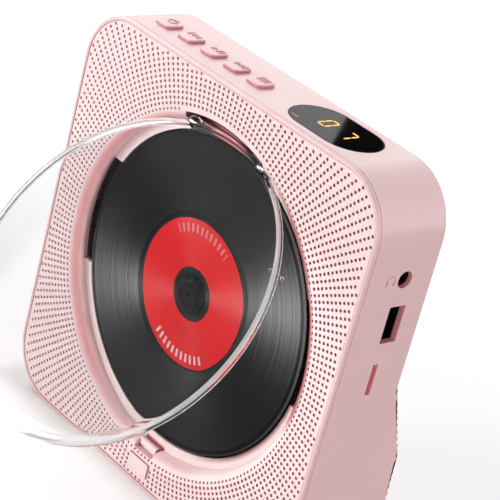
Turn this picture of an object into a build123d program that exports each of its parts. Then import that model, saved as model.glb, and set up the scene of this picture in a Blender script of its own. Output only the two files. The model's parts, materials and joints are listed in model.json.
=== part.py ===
"""Wall mounted disc player: a rounded square cabinet that stands or hangs upright.

Units are millimetres.  +X is to the right of someone facing the front, +Y runs to the back and
+Z is up.  The origin is the middle of the cabinet's flat underside.  Depths are counted from
the front plane towards the back; "well" sizes are counted from the middle of the disc.
The lid is drawn as it rests, swung open by lid_open degrees.
"""
import math
import os

from build123d import *

# ---- cabinet ------------------------------------------------------------------------------
side_border = 13.0       # from the well's shoulder to each side of the cabinet
top_border = 14.0        # and to its top
bottom_border = 12.0     # and to its underside
depth = 33.0             # outside, front to back
corner_r = 22.0
wall = 2.4
rim = 1.4                # edge of the shell left showing around the front panel
rim_round = 0.6
seam_depth = 1.4         # fine groove around the sides
seam_cut = 0.3
fit_gap = 0.3            # clearance between pieces that slide or drop in
running_gap = 0.05       # radial clearance of a shaft or pin in its bore

# ---- front panel and disc well --------------------------------------------------------------
panel_inset = 0.3        # panel face behind the rim
panel_t = 2.0
panel_round = 0.5
disc_r = 60.0
disc_t = 1.2
disc_hole_r = 7.5
disc_depth = 5.4         # disc's front face
well_gap = 5.0           # disc edge to well wall
lip_round = 4.5          # soft shoulder from the panel into the well
ledge_gap = 1.0          # disc edge to the ledge
ledge_depth = 6.2
ledge_t = 1.8
finger_top = 27.7        # finger recesses cut the ledge from here ...
finger_bottom = -17.7    # ... to here, on both sides
grille_pitch = 2.02      # between rings of holes
grille_rays = 200
grille_rings = 20
grille_hole_r = 0.5
grille_sides = 6
grille_margin = 1.6      # solid border of the panel
sound_r = 10.0           # radius of the open field in front of a speaker

# ---- lid, hinge and latch --------------------------------------------------------------------
lid_gap = 0.7            # lid's rim to the well wall
lid_skirt_t = 1.5
lid_face_t = 1.6
lid_shoulder_depth = 2.4
lid_crown_depth = 0.2
lid_round = 1.2
lid_edge_depth = 5.8
lid_open = 38.0
hinge_depth = 4.2
hinge_inset = 3.3        # hinge axis inside the lid's rim, above the disc
pocket_half = 22.0
pocket_reach = 3.3       # pocket beyond the well wall
pocket_depth = 10.5
pocket_wall = 1.6
ear_inner = 17.5
ear_outer = 21.6
ear_r = 2.3
pin_r = 0.95
pin_outer = 26.0
latch_travel = 0.8
catch_half = 4.5
catch_proud = 0.2        # catch stands in from the well wall
catch_h = 3.4
catch_front = 1.6
catch_back = 6.0
notch_half = 5.3
slider_half = 5.0
slider_window_half = 3.4
slider_web = 1.0         # left above and below the slider's window
pad_w = 11.5
pad_h = 6.0
pad_gap = 1.0            # pad below the well's shoulder
pad_proud = 0.7
plunger_half = 3.0

# ---- disc drive ------------------------------------------------------------------------------
tray_t = 1.6
tray_gap = 0.6           # step from the ledge's back to the tray floor
tray_hole_r = 17.0
slot_half = 8.0
table_r = 14.0
table_t = 1.4
hub_r = 7.2
hub_proud = 2.2
hub_cap_r = 7.0
claw_count = 3
shaft_r = 1.0
spindle_r = 12.0
spindle_t = 7.0
chassis_t = 1.2
bush_t = 2.4
bush_r = 4.5
bush_bore_r = 2.2
bush_left = -50.0
bush_right = 20.0
bush_up = 25.5
bush_down = -32.5
chassis_margin = 4.5
chassis_gap = 1.6        # chassis to the shell's left wall
rod_r = 1.5
rod_up = 15.0
rod_lift = 2.0           # rod axis behind the chassis
rod_block = 5.0
screw_r = 2.0
screw_down = -23.0
lens_start = 24.0        # lens distance from the disc's middle, innermost
lens_rim = 2.0           # outermost lens place, inside the disc's edge
lens_r = 2.5
sled_inner = 14.0
sled_outer = 36.0
sled_half = 19.0
sled_t = 6.0
turret = 11.0

# ---- controls and display --------------------------------------------------------------------
button_names = ("button_power", "button_previous", "button_play", "button_next", "button_mode")
button_pitch = 13.35
button_inset = 27.2      # first button's middle from the cabinet's left side
button_depth = 13.9
button_size = 8.0
button_round = 1.8
button_proud = 1.5
button_travel = 0.8
button_flange = 0.8
window_inset = 46.45     # window's middle from the cabinet's right side
window_depth = 16.85
window_w = 38.8
window_h = 24.6
window_gap = 0.2
window_flange = 1.1
board_t = 1.6
switch_size = 6.0
switch_t = 2.5
switch_tip = 0.5
switch_tip_r = 1.7
display_w = 30.0
display_h = 15.0
post_r = 1.5

# ---- sockets ---------------------------------------------------------------------------------
jack_z = 130.2
jack_depth = 19.1
jack_hole_r = 3.25
jack_bore_r = 1.8
jack_body = 6.0
jack_len = 12.0
usb_z = 112.7
usb_depth = 19.8
usb_w = 14.3
usb_h = 7.6
usb_len = 14.0
socket_wall = 0.5
card_z = 91.1
card_depth = 17.5
card_w = 12.2
card_h = 2.5
card_len = 15.0
power_w = 9.4
power_h = 3.6
power_len = 7.5
main_left = 40.0
main_bottom = 56.0
main_top = 142.0

# ---- speakers and battery --------------------------------------------------------------------
speaker_r = 16.0
speaker_gap = 0.34       # basket to the well's shoulder
speaker_t = 9.0
magnet_r = 9.0
magnet_t = 6.0
basket_t = 1.0
cone_t = 0.6
cell_r = 9.0
cell_len = 65.0
cell_z = 14.0
cell_depth = 20.0
holder_wall = 1.5

# ---- back and stand --------------------------------------------------------------------------
cover_t = 2.2
cover_inset = 0.5
key_x = 30.0
key_z = 128.0
key_head_r = 4.5
key_neck_r = 2.3
key_rise = 9.0
screw_head_r = 2.8
screw_shank_r = 1.1
screw_len = 8.0
screw_head_t = 1.6
tower_r = 3.4
tower_len = 10.0
stand_inset = 3.5        # stand's side inside the cabinet's side
stand_top = 94.0
stand_wall = 2.2
stand_back = 18.5        # behind the cabinet, at the foot
stud_x = 50.0
stud_low = 22.0
stud_high = 78.0
stud_r = 2.5
stud_len = 4.0
stand_pad_t = 1.0
stand_pad_w = 30.0
stand_pad_d = 9.0

# ---- worked out from the sizes above ---------------------------------------------------------
front = -depth / 2
wall_r = disc_r + well_gap
ledge_r = disc_r + ledge_gap
lip_r = wall_r + lip_round
width = 2 * (lip_r + side_border)
height = 2 * lip_r + top_border + bottom_border
well_z = lip_r + bottom_border
lid_r = wall_r - lid_gap
hinge_up = lid_r - hinge_inset
pocket_r = wall_r + pocket_reach
panel_back = panel_inset + panel_t
ledge_back = ledge_depth + ledge_t
tray_depth = ledge_back + tray_gap
tray_back = tray_depth + tray_t
tray_r = wall_r + panel_t
chassis_depth = tray_back + bush_t
chassis_back = chassis_depth + chassis_t
rod_depth = chassis_back + rod_lift
hinge_z = well_z + hinge_up
cover_back = depth - cover_inset
cover_front = cover_back - cover_t
inner_top = height - wall
board_top = inner_top - 2 * fit_gap - button_flange - button_travel - switch_tip - switch_t
catch_top = catch_proud - wall_r
catch_bottom = catch_top - catch_h
notch_end = catch_bottom - latch_travel - fit_gap
pad_z = bottom_border - pad_gap - pad_h / 2
lens_travel = disc_r - lens_rim - lens_start
chassis_left = chassis_gap + wall - width / 2
speaker_out = (lip_r + speaker_gap + speaker_r) * math.sqrt(0.5)
stand_half = width / 2 - stand_inset
window_x = width / 2 - window_inset
main_depth = jack_depth - jack_body / 2 - board_t
tower_reach = corner_r - wall - tower_r + 0.8


def body_plane(back):
    """Plane facing the front, `back` behind the front plane, centred on the cabinet."""
    return Plane(origin=(0, front + back, height / 2), x_dir=(1, 0, 0), z_dir=(0, -1, 0))


def well_plane(back):
    """Plane facing the front, `back` behind the front plane, centred on the disc."""
    return Plane(origin=(0, front + back, well_z), x_dir=(1, 0, 0), z_dir=(0, -1, 0))


def side_plane(x):
    """Plane facing +X whose own axes are depth and height."""
    return Plane(origin=(x, front, 0), x_dir=(0, 1, 0), z_dir=(1, 0, 0))


def level_plane(z):
    """Plane facing up whose own axes are X and depth."""
    return Plane(origin=(0, front, z))


def backwards(distance, mode=Mode.ADD):
    """Extrude the pending sketch towards the back."""
    extrude(amount=-distance, mode=mode)


def rounded_square(inset):
    """The cabinet's outline, `inset` inside its surface."""
    RectangleRounded(width - 2 * inset, height - 2 * inset, corner_r - inset)


def crown_arc(edge_r, crown, edge):
    """Arc of a sphere on the axis, from (0, crown) out to (edge_r, edge)."""
    rise = edge - crown
    ball_r = (edge_r ** 2 + rise ** 2) / (2 * abs(rise))
    sag = ball_r - math.sqrt(ball_r ** 2 - edge_r ** 2 / 4)
    ThreePointArc((0, crown), (edge_r / 2, crown + math.copysign(sag, rise)), (edge_r, edge))


def save(part, name):
    """Label a finished piece and write it."""
    part.label = name
    export_step(part, f"parts/{name}.step")


well_section = Plane(origin=(0, front, well_z))
disc_axis = Axis((0, front, well_z), (0, 1, 0))
hinge_frame = Plane(origin=(0, front + hinge_depth, hinge_z), x_dir=(1, 0, 0),
                    z_dir=(0, math.sin(math.radians(lid_open)), math.cos(math.radians(lid_open))))
tower_spots = [(sx * (width / 2 - corner_r + tower_reach * math.sqrt(0.5)),
                sz * (height / 2 - corner_r + tower_reach * math.sqrt(0.5)))
               for sx in (-1, 1) for sz in (-1, 1)]
bush_spots = [(x, z) for x in (bush_left, bush_right) for z in (bush_down, bush_up)]
button_spots = [button_inset - width / 2 + i * button_pitch for i in range(len(button_names))]
post_spots = [button_spots[0] + button_pitch / 2, button_spots[-1] - button_pitch / 2]
key_spots = [-key_x, key_x]
stud_spots = [(x, z) for x in (-stud_x, stud_x) for z in (stud_low, stud_high)]
os.makedirs("parts", exist_ok=True)

# ---- cabinet shell: a deep rounded square ring with a rebate at each end ----------------------
with BuildPart() as cabinet_shell:
    with BuildSketch(body_plane(0)):
        rounded_square(0)
    backwards(depth)
    fillet(cabinet_shell.edges().filter_by(Axis.Y, reverse=True), radius=rim_round)
    with BuildSketch(body_plane(0)):
        rounded_square(wall)
    backwards(depth, Mode.SUBTRACT)
    with BuildSketch(body_plane(0)):
        rounded_square(rim)
    backwards(panel_back, Mode.SUBTRACT)
    with BuildSketch(body_plane(cover_front)):
        rounded_square(rim)
    backwards(depth - cover_front, Mode.SUBTRACT)
    with BuildSketch(body_plane(seam_depth)):
        rounded_square(-1)
        RectangleRounded(width - 2 * seam_cut, height - 2 * seam_cut, corner_r, mode=Mode.SUBTRACT)
    backwards(seam_cut, Mode.SUBTRACT)
    # towers for the back cover's screws, standing in the corners
    with BuildSketch(body_plane(cover_front - tower_len)):
        with Locations(*tower_spots):
            Circle(tower_r)
    backwards(tower_len)
    with BuildSketch(body_plane(cover_front - screw_len)):
        with Locations(*tower_spots):
            Circle(screw_shank_r + running_gap)
    backwards(screw_len, Mode.SUBTRACT)
    # posts under the top wall for the button board
    with BuildSketch(level_plane(board_top)):
        with Locations(*[(x, button_depth) for x in post_spots]):
            Circle(post_r)
    extrude(amount=inner_top - board_top + wall / 2)
    # button and display openings in the top
    with BuildSketch(level_plane(height)):
        with Locations(*[(x, button_depth) for x in button_spots]):
            RectangleRounded(button_size + 2 * fit_gap, button_size + 2 * fit_gap,
                             button_round + fit_gap)
        with Locations((window_x, window_depth)):
            SlotOverall(window_w + 2 * window_gap, window_h + 2 * window_gap)
    extrude(amount=-wall, mode=Mode.SUBTRACT)
    # sockets in the right side
    with BuildSketch(side_plane(width / 2)):
        with Locations((jack_depth, jack_z)):
            Circle(jack_hole_r)
        with Locations((usb_depth, usb_z)):
            Rectangle(usb_h, usb_w)
        with Locations((card_depth, card_z)):
            Rectangle(card_h, card_w)
    extrude(amount=-wall, mode=Mode.SUBTRACT)
    # power inlet in the left side
    with BuildSketch(side_plane(-width / 2)):
        with Locations((usb_depth, usb_z)):
            SlotOverall(power_w, power_h, rotation=90)
    extrude(amount=wall, mode=Mode.SUBTRACT)
save(cabinet_shell.part, "cabinet_shell")

# ---- front panel: perforated face, soft shoulder, well wall, ledge, hinge pocket ---------------
sound_holes = [(r * math.cos(a), r * math.sin(a))
               for r in [lip_r + grille_pitch * k for k in range(1, grille_rings)]
               for a in [2 * math.pi * i / grille_rays for i in range(grille_rays)]
               if math.hypot(abs(r * math.cos(a)) - speaker_out,
                             r * math.sin(a) + speaker_out) < sound_r]
with BuildPart() as front_panel:
    with BuildSketch(body_plane(panel_inset)):
        rounded_square(rim + running_gap)
    backwards(panel_t)
    fillet(front_panel.faces().sort_by(Axis.Y)[0].edges(), radius=panel_round)
    with BuildSketch(well_plane(panel_inset)):
        Circle(lip_r)
    backwards(panel_t, Mode.SUBTRACT)
    with BuildSketch(well_section):
        with BuildLine():
            Line((lip_r, panel_inset), (lip_r, panel_back))
            CenterArc((lip_r, panel_inset + lip_round), lip_round - panel_t, 180, 90)
            Polyline((wall_r + panel_t, panel_inset + lip_round), (wall_r + panel_t, ledge_back),
                     (wall_r, ledge_back), (wall_r, panel_inset + lip_round))
            CenterArc((lip_r, panel_inset + lip_round), lip_round, 180, 90)
        make_face()
    revolve(axis=disc_axis)
    # ledge around the disc, broken by a finger recess at the left and right
    with BuildSketch(well_plane(ledge_depth)):
        Circle(wall_r + panel_t / 2)
        Circle(ledge_r, mode=Mode.SUBTRACT)
        with Locations((0, (finger_top + finger_bottom) / 2)):
            Rectangle(4 * wall_r, finger_top - finger_bottom, mode=Mode.SUBTRACT)
    backwards(ledge_t)
    # hinge pocket above the disc
    with BuildSketch(well_plane(panel_back)):
        Circle(pocket_r + pocket_wall)
        Circle(wall_r + panel_t / 2, mode=Mode.SUBTRACT)
        with Locations((0, pocket_r)):
            Rectangle(2 * (pocket_half + pocket_wall), pocket_r, mode=Mode.INTERSECT)
    backwards(ledge_back - panel_back)
    with BuildSketch(well_plane(ledge_back)):
        Circle(pocket_r + pocket_wall)
        with Locations((0, disc_r + pocket_r / 2)):
            Rectangle(2 * (pocket_half + pocket_wall), pocket_r, mode=Mode.INTERSECT)
    backwards(pocket_depth + pocket_wall - ledge_back)
    for start, end, low in ((0, ledge_back, disc_r / 2), (ledge_back, pocket_depth, disc_r + pocket_wall)):
        with BuildSketch(well_plane(start)):
            Circle(pocket_r)
            with Locations((0, low + pocket_r / 2)):
                Rectangle(2 * pocket_half, pocket_r, mode=Mode.INTERSECT)
        backwards(end - start, Mode.SUBTRACT)
    # pin bores in the well wall
    with BuildSketch(side_plane(0)):
        with Locations((hinge_depth, hinge_z)):
            Circle(pin_r)
    extrude(amount=pin_outer, both=True, mode=Mode.SUBTRACT)
    # notch and guide ribs of the latch, below the disc
    with BuildSketch(well_plane(0)):
        with Locations((0, (catch_top + fit_gap + notch_end) / 2 + 1)):
            Rectangle(2 * notch_half, catch_top + fit_gap - notch_end + 2)
    backwards(ledge_back, Mode.SUBTRACT)
    with BuildSketch(Plane(origin=(0, front + panel_back, 0), x_dir=(1, 0, 0), z_dir=(0, -1, 0))):
        with Locations(*[(sx * (notch_half + 0.6), pad_z - 0.4) for sx in (-1, 1)]):
            Rectangle(1.2, pad_h + 2)
    backwards(catch_back - panel_back)
    with BuildSketch(Plane(origin=(0, front, pad_z), x_dir=(1, 0, 0), z_dir=(0, -1, 0))):
        Rectangle(pad_w + 2 * fit_gap, pad_h + 2 * fit_gap)
    backwards(panel_back, Mode.SUBTRACT)
    # open holes of the grille in front of each speaker
    with BuildSketch(well_plane(panel_inset)):
        with Locations(*sound_holes):
            RegularPolygon(grille_hole_r, grille_sides)
    backwards(panel_t, Mode.SUBTRACT)
save(front_panel.part, "front_panel")

# ---- lid: a shallow clear dish with a skirt, two hinge ears and a catch slot -------------------
lid_section = Plane(origin=hinge_frame.from_local_coords(Vector(0, -hinge_depth, -hinge_up)),
                    x_dir=(1, 0, 0), z_dir=hinge_frame.z_dir)
lid_axis = Axis(lid_section.origin, lid_section.y_dir)
with BuildPart() as lid:
    with BuildSketch(lid_section):
        with BuildLine():
            crown_arc(lid_r - lid_round, lid_crown_depth, lid_shoulder_depth)
            RadiusArc((lid_r - lid_round, lid_shoulder_depth),
                      (lid_r, lid_shoulder_depth + lid_round), -lid_round)
            Polyline((lid_r, lid_shoulder_depth + lid_round), (lid_r, lid_edge_depth),
                     (lid_r - lid_skirt_t, lid_edge_depth),
                     (lid_r - lid_skirt_t, lid_shoulder_depth + lid_face_t))
            crown_arc(lid_r - lid_skirt_t, lid_crown_depth + lid_face_t, lid_shoulder_depth + lid_face_t)
            Line((0, lid_crown_depth + lid_face_t), (0, lid_crown_depth))
        make_face()
    revolve(axis=lid_axis)
    for side in (-1, 1):
        ear_plane = Plane(origin=(side * ear_inner, front + hinge_depth, hinge_z),
                          x_dir=(0, 1, 0), z_dir=(1, 0, 0))
        with BuildSketch(ear_plane):
            Circle(ear_r)
        extrude(amount=side * (ear_outer - ear_inner))
    pin_plane = Plane(origin=(0, front + hinge_depth, hinge_z), x_dir=(0, 1, 0), z_dir=(1, 0, 0))
    with BuildSketch(pin_plane):
        Circle(pin_r + running_gap)
    extrude(amount=pin_outer, both=True, mode=Mode.SUBTRACT)
    for side in (-1, 1):
        outboard = Plane(origin=(side * ear_outer, front + hinge_depth, hinge_z),
                         x_dir=(0, 1, 0), z_dir=(1, 0, 0))
        with BuildSketch(outboard):
            Circle(pin_r + fit_gap)
        extrude(amount=side * (pin_outer - ear_outer), mode=Mode.SUBTRACT)
    with BuildSketch(lid_section.offset(-lid_r + lid_skirt_t + 0.8)):
        with Locations((0, lid_edge_depth - 1.0)):
            Rectangle(2 * slider_window_half, 0.9)
    extrude(amount=-lid_skirt_t - 1.6, mode=Mode.SUBTRACT)
save(lid.part, "lid")

with BuildPart() as lid_hinge_pins:
    for side in (-1, 1):
        with BuildSketch(Plane(origin=(side * ear_inner, front + hinge_depth, hinge_z),
                               x_dir=(0, 1, 0), z_dir=(1, 0, 0))):
            Circle(pin_r)
        extrude(amount=side * (pin_outer - ear_inner))
save(lid_hinge_pins.part, "lid_hinge_pins")

# ---- latch: the slider with its catch, and the pad that is pressed -------------------------------
slider_front = panel_back + fit_gap
slider_bottom = wall + 2 * fit_gap + latch_travel
slider_len = well_z + catch_bottom - slider_bottom
with BuildPart() as latch_hook:
    with BuildSketch(well_plane(catch_front)):
        with Locations((0, (catch_top + catch_bottom) / 2)):
            Rectangle(2 * catch_half, catch_h)
    backwards(catch_back - catch_front)
    fillet(latch_hook.edges().filter_by(Axis.X).group_by(Axis.Y)[0], radius=0.6)
    with BuildSketch(well_plane(slider_front)):
        with Locations((0, (catch_bottom + slider_bottom - well_z) / 2)):
            Rectangle(2 * slider_half, slider_len)
            Rectangle(2 * slider_window_half, slider_len - 2 * slider_web, mode=Mode.SUBTRACT)
    backwards(catch_back - slider_front)
save(latch_hook.part, "latch_hook")

with BuildPart() as release_pad:
    with BuildSketch(Plane(origin=(0, front + panel_inset - pad_proud, pad_z), x_dir=(1, 0, 0),
                           z_dir=(0, -1, 0))):
        Rectangle(pad_w, pad_h)
    backwards(panel_t + pad_proud - fit_gap - latch_travel)
    fillet(release_pad.faces().sort_by(Axis.Y)[0].edges(), radius=0.4)
    with BuildSketch(Plane(origin=(0, front + panel_back - fit_gap - latch_travel, pad_z - 0.8),
                           x_dir=(1, 0, 0), z_dir=(0, -1, 0))):
        Rectangle(2 * plunger_half, pad_h / 2)
    backwards(catch_back - panel_back - latch_travel)
    chamfer(release_pad.edges().filter_by(Axis.X).group_by(Axis.Y)[-1].sort_by(Axis.Z)[0], 1.0)
save(release_pad.part, "release_pad")

# ---- deck: black tray under the disc, sprung chassis, spindle and pickup -----------------------
with BuildPart() as deck_tray:
    with BuildSketch(well_plane(ledge_back)):
        Circle(tray_r)
    backwards(tray_back - ledge_back)
    with BuildSketch(well_plane(ledge_back)):
        Circle(wall_r)
    backwards(tray_gap, Mode.SUBTRACT)
    with BuildSketch(well_plane(ledge_back)):
        Circle(tray_hole_r)
        with Locations((-disc_r / 2, 0)):
            SlotOverall(disc_r + 2 * slot_half, 2 * slot_half)
        with Locations((0, disc_r + tray_r / 2 - fit_gap)):
            Rectangle(2 * (pocket_half + pocket_wall + fit_gap), tray_r)
    backwards(tray_back - ledge_back, Mode.SUBTRACT)
    with BuildSketch(well_plane(tray_depth)):
        Circle(tray_hole_r + 3 * tray_t)
        Circle(tray_hole_r + 2 * tray_t, mode=Mode.SUBTRACT)
        with Locations((-disc_r / 2, 0)):
            Rectangle(disc_r, 2 * slot_half + 2 * tray_t, mode=Mode.SUBTRACT)
    backwards(-tray_gap / 2)
    with BuildSketch(well_plane(tray_depth)):
        with Locations(*bush_spots):
            Circle(screw_shank_r)
    backwards(tray_t, Mode.SUBTRACT)
save(deck_tray.part, "deck_tray")

with BuildPart() as chassis_bushes:
    with BuildSketch(well_plane(tray_back)):
        with Locations(*bush_spots):
            Circle(bush_r)
            Circle(bush_bore_r, mode=Mode.SUBTRACT)
    backwards(bush_t)
save(chassis_bushes.part, "chassis_bushes")

chassis_right = bush_right + chassis_margin
chassis_top = bush_up + chassis_margin
chassis_low = bush_down - chassis_margin
screw_depth = chassis_back + rod_lift
with BuildPart() as deck_chassis:
    with BuildSketch(well_plane(chassis_depth)):
        with Locations(((chassis_left + chassis_right) / 2, (chassis_top + chassis_low) / 2)):
            RectangleRounded(chassis_right - chassis_left, chassis_top - chassis_low, chassis_margin)
        with Locations((-(lens_start + lens_travel / 2), 0)):
            RectangleRounded(lens_travel + turret + 4 * fit_gap, 2 * slot_half, 1.5, mode=Mode.SUBTRACT)
        with Locations(*bush_spots):
            Circle(screw_shank_r + fit_gap, mode=Mode.SUBTRACT)
        Circle(3 * shaft_r, mode=Mode.SUBTRACT)
    backwards(chassis_t)
    # blocks that hold the rods and the far end of the lead screw
    rod_left = -(sled_outer + lens_travel + 1.5 * rod_block)
    rod_right = -(sled_inner - 1.3 * rod_block)
    block_spots = [(x, z) for x in (rod_left + rod_block / 2, rod_right - rod_block / 2)
                   for z in (-rod_up, rod_up)] + [(rod_left + rod_block / 2, screw_down)]
    with BuildSketch(well_plane(chassis_back)):
        with Locations(*block_spots):
            Rectangle(rod_block, rod_block)
    backwards(rod_lift + rod_block / 2)
    with BuildSketch(side_plane(rod_left)):
        with Locations((rod_depth, well_z - rod_up), (rod_depth, well_z + rod_up)):
            Circle(rod_r)
        with Locations((screw_depth, well_z + screw_down)):
            Circle(screw_r + running_gap)
    extrude(amount=rod_right - rod_left, mode=Mode.SUBTRACT)
save(deck_chassis.part, "deck_chassis")

with BuildPart() as chassis_screws:
    with BuildSketch(well_plane(chassis_back)):
        with Locations(*bush_spots):
            Circle(screw_head_r)
    backwards(screw_head_t)
    with BuildSketch(well_plane(tray_depth + running_gap)):
        with Locations(*bush_spots):
            Circle(screw_shank_r)
    backwards(chassis_back - tray_depth - running_gap)
save(chassis_screws.part, "chassis_screws")

with BuildPart() as spindle_motor:
    with BuildSketch(well_plane(chassis_back)):
        Circle(spindle_r)
    backwards(spindle_t)
    fillet(spindle_motor.faces().sort_by(Axis.Y)[-1].edges(), radius=1.0)
    with BuildSketch(well_plane(chassis_back)):
        Circle(shaft_r + running_gap)
    backwards(spindle_t, Mode.SUBTRACT)
save(spindle_motor.part, "spindle_motor")

table_depth = disc_depth + disc_t
with BuildPart() as spindle_shaft:
    with BuildSketch(well_plane(table_depth + table_t)):
        Circle(shaft_r)
    backwards(chassis_back + spindle_t - table_depth - table_t)
save(spindle_shaft.part, "spindle_shaft")

with BuildPart() as turntable:
    with BuildSketch(well_section):
        with BuildLine():
            Polyline((0, table_depth), (table_r, table_depth), (table_r, table_depth + table_t * 0.6),
                     (table_r - table_t * 0.4, table_depth + table_t), (0, table_depth + table_t),
                     (0, table_depth))
        make_face()
    revolve(axis=disc_axis)
    with BuildSketch(well_plane(table_depth + table_t)):
        Circle(3 * shaft_r - 2 * fit_gap)
        Circle(shaft_r, mode=Mode.SUBTRACT)
    backwards(chassis_depth - table_depth - table_t - fit_gap)
save(turntable.part, "turntable")

hub_top = disc_depth - hub_proud
with BuildPart() as disc_hub:
    with BuildSketch(well_section):
        with BuildLine():
            Polyline((0, hub_top), (hub_cap_r - 0.8, hub_top))
            Line((hub_cap_r - 0.8, hub_top), (hub_cap_r, hub_top + 0.8))
            Polyline((hub_cap_r, hub_top + 0.8), (hub_r, disc_depth), (hub_r, table_depth),
                     (0, table_depth), (0, hub_top))
        make_face()
    revolve(axis=disc_axis)
    # spring claws: a slot either side of each, and a raised tip that clicks over the disc
    with BuildSketch(well_plane(hub_top)):
        with PolarLocations(hub_cap_r - 1.2, claw_count, start_angle=90):
            with Locations((0, 1.5), (0, -1.5)):
                Rectangle(2.4, 0.5)
    backwards(disc_depth - hub_top, Mode.SUBTRACT)
    with BuildSketch(well_plane(hub_top)):
        with PolarLocations(0.56 * hub_cap_r, 2 * claw_count):
            Circle(0.5)
        Circle(0.8)
    backwards(0.6, Mode.SUBTRACT)
save(disc_hub.part, "disc_hub")

with BuildPart() as compact_disc:
    with BuildSketch(well_plane(disc_depth)):
        Circle(disc_r)
        Circle(disc_hole_r, mode=Mode.SUBTRACT)
    backwards(disc_t)
save(compact_disc.part, "compact_disc")

with BuildPart() as guide_rods:
    with BuildSketch(side_plane(rod_left)):
        with Locations((rod_depth, well_z - rod_up), (rod_depth, well_z + rod_up)):
            Circle(rod_r)
    extrude(amount=rod_right - rod_left)
save(guide_rods.part, "guide_rods")

motor_left = rod_right + fit_gap
with BuildPart() as lead_screw:
    with BuildSketch(side_plane(rod_left)):
        with Locations((screw_depth, well_z + screw_down)):
            Circle(screw_r)
    extrude(amount=motor_left - rod_left - fit_gap)
save(lead_screw.part, "lead_screw")

with BuildPart() as feed_motor:
    with BuildSketch(side_plane(motor_left)):
        with Locations((screw_depth, well_z + screw_down)):
            Circle(2 * rod_lift + screw_r)
            Rectangle(2 * rod_lift, 4 * rod_lift + 2 * screw_r, mode=Mode.INTERSECT)
    extrude(amount=bush_right - motor_left)
save(feed_motor.part, "feed_motor")

sled_front = chassis_back + fit_gap
with BuildPart() as pickup_sled:
    with BuildSketch(well_plane(sled_front)):
        with Locations((-(sled_inner + sled_outer) / 2, 0)):
            RectangleRounded(sled_outer - sled_inner, 2 * sled_half, 2.0)
        with Locations((-(sled_inner + sled_outer) / 2, (screw_down - sled_half) / 2)):
            Rectangle((sled_outer - sled_inner) * 0.6, -screw_down - sled_half + 2 * rod_block)
    backwards(sled_t)
    turret_front = tray_depth + 2 * fit_gap
    with BuildSketch(well_plane(turret_front)):
        with Locations((-lens_start, 0)):
            RectangleRounded(turret, turret, 1.0)
    backwards(sled_front - turret_front)
    with BuildSketch(side_plane(-sled_outer)):
        with Locations((rod_depth, well_z - rod_up), (rod_depth, well_z + rod_up)):
            Circle(rod_r + running_gap)
        with Locations((screw_depth, well_z + screw_down)):
            Circle(screw_r + fit_gap)
    extrude(amount=sled_outer - sled_inner, mode=Mode.SUBTRACT)
save(pickup_sled.part, "pickup_sled")

with BuildPart() as pickup_lens:
    with BuildSketch(well_plane(turret_front)):
        with Locations((-lens_start, 0)):
            Circle(lens_r)
    backwards(-(turret_front - table_depth) / 2)
    fillet(pickup_lens.faces().sort_by(Axis.Y)[0].edges(), radius=0.4)
save(pickup_lens.part, "pickup_lens")

# ---- controls on top -----------------------------------------------------------------------------
flange_top = inner_top - fit_gap
for name, x in zip(button_names, button_spots):
    with BuildPart() as button:
        with BuildSketch(level_plane(flange_top - button_flange)):
            with Locations((x, button_depth)):
                Rectangle(button_size + 2 * button_flange, button_size + 2 * button_flange)
        extrude(amount=button_flange)
        with BuildSketch(level_plane(flange_top)):
            with Locations((x, button_depth)):
                RectangleRounded(button_size, button_size, button_round)
        extrude(amount=height + button_proud - flange_top)
        fillet(button.faces().sort_by(Axis.Z)[-1].edges(), radius=0.5)
    save(button.part, name)

with BuildPart() as button_board:
    with BuildSketch(level_plane(board_top)):
        with Locations(((post_spots[0] + post_spots[1]) / 2, button_depth)):
            Rectangle(button_spots[-1] - button_spots[0] + button_size + 2 * button_flange,
                      button_size + 2 * post_r)
    extrude(amount=-board_t)
save(button_board.part, "button_board")

with BuildPart() as tact_switches:
    with BuildSketch(level_plane(board_top)):
        with Locations(*[(x, button_depth) for x in button_spots]):
            Rectangle(switch_size, switch_size)
    extrude(amount=switch_t)
    with BuildSketch(level_plane(board_top + switch_t)):
        with Locations(*[(x, button_depth) for x in button_spots]):
            Circle(switch_tip_r)
    extrude(amount=switch_tip)
save(tact_switches.part, "tact_switches")

with BuildPart() as display_window:
    with BuildSketch(level_plane(inner_top - window_flange)):
        with Locations((window_x, window_depth)):
            SlotOverall(window_w + 2 * window_flange, window_h + 2 * window_flange)
    extrude(amount=window_flange)
    with BuildSketch(level_plane(inner_top)):
        with Locations((window_x, window_depth)):
            SlotOverall(window_w, window_h)
    extrude(amount=height - inner_top)
    fillet(display_window.faces().sort_by(Axis.Z)[-1].edges(), radius=0.25)
save(display_window.part, "display_window")

with BuildPart() as display_module:
    with BuildSketch(level_plane(board_top)):
        with Locations((window_x, window_depth)):
            RectangleRounded(display_w, display_h, 1.0)
    extrude(amount=inner_top - window_flange - board_top)
save(display_module.part, "display_module")

with BuildPart() as display_board:
    with BuildSketch(level_plane(board_top)):
        with Locations((window_x, window_depth)):
            RectangleRounded(window_w, window_h, 2.0)
    extrude(amount=-board_t)
save(display_board.part, "display_board")

# ---- main board and the sockets that it carries ---------------------------------------------------
inner_right = width / 2 - wall
with BuildPart() as main_board:
    with BuildSketch(Plane(origin=(0, front + main_depth, 0), x_dir=(1, 0, 0), z_dir=(0, -1, 0))):
        with Locations(((main_left + inner_right - fit_gap) / 2, (main_bottom + main_top) / 2)):
            Rectangle(inner_right - fit_gap - main_left, main_top - main_bottom)
    backwards(board_t)
save(main_board.part, "main_board")

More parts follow.
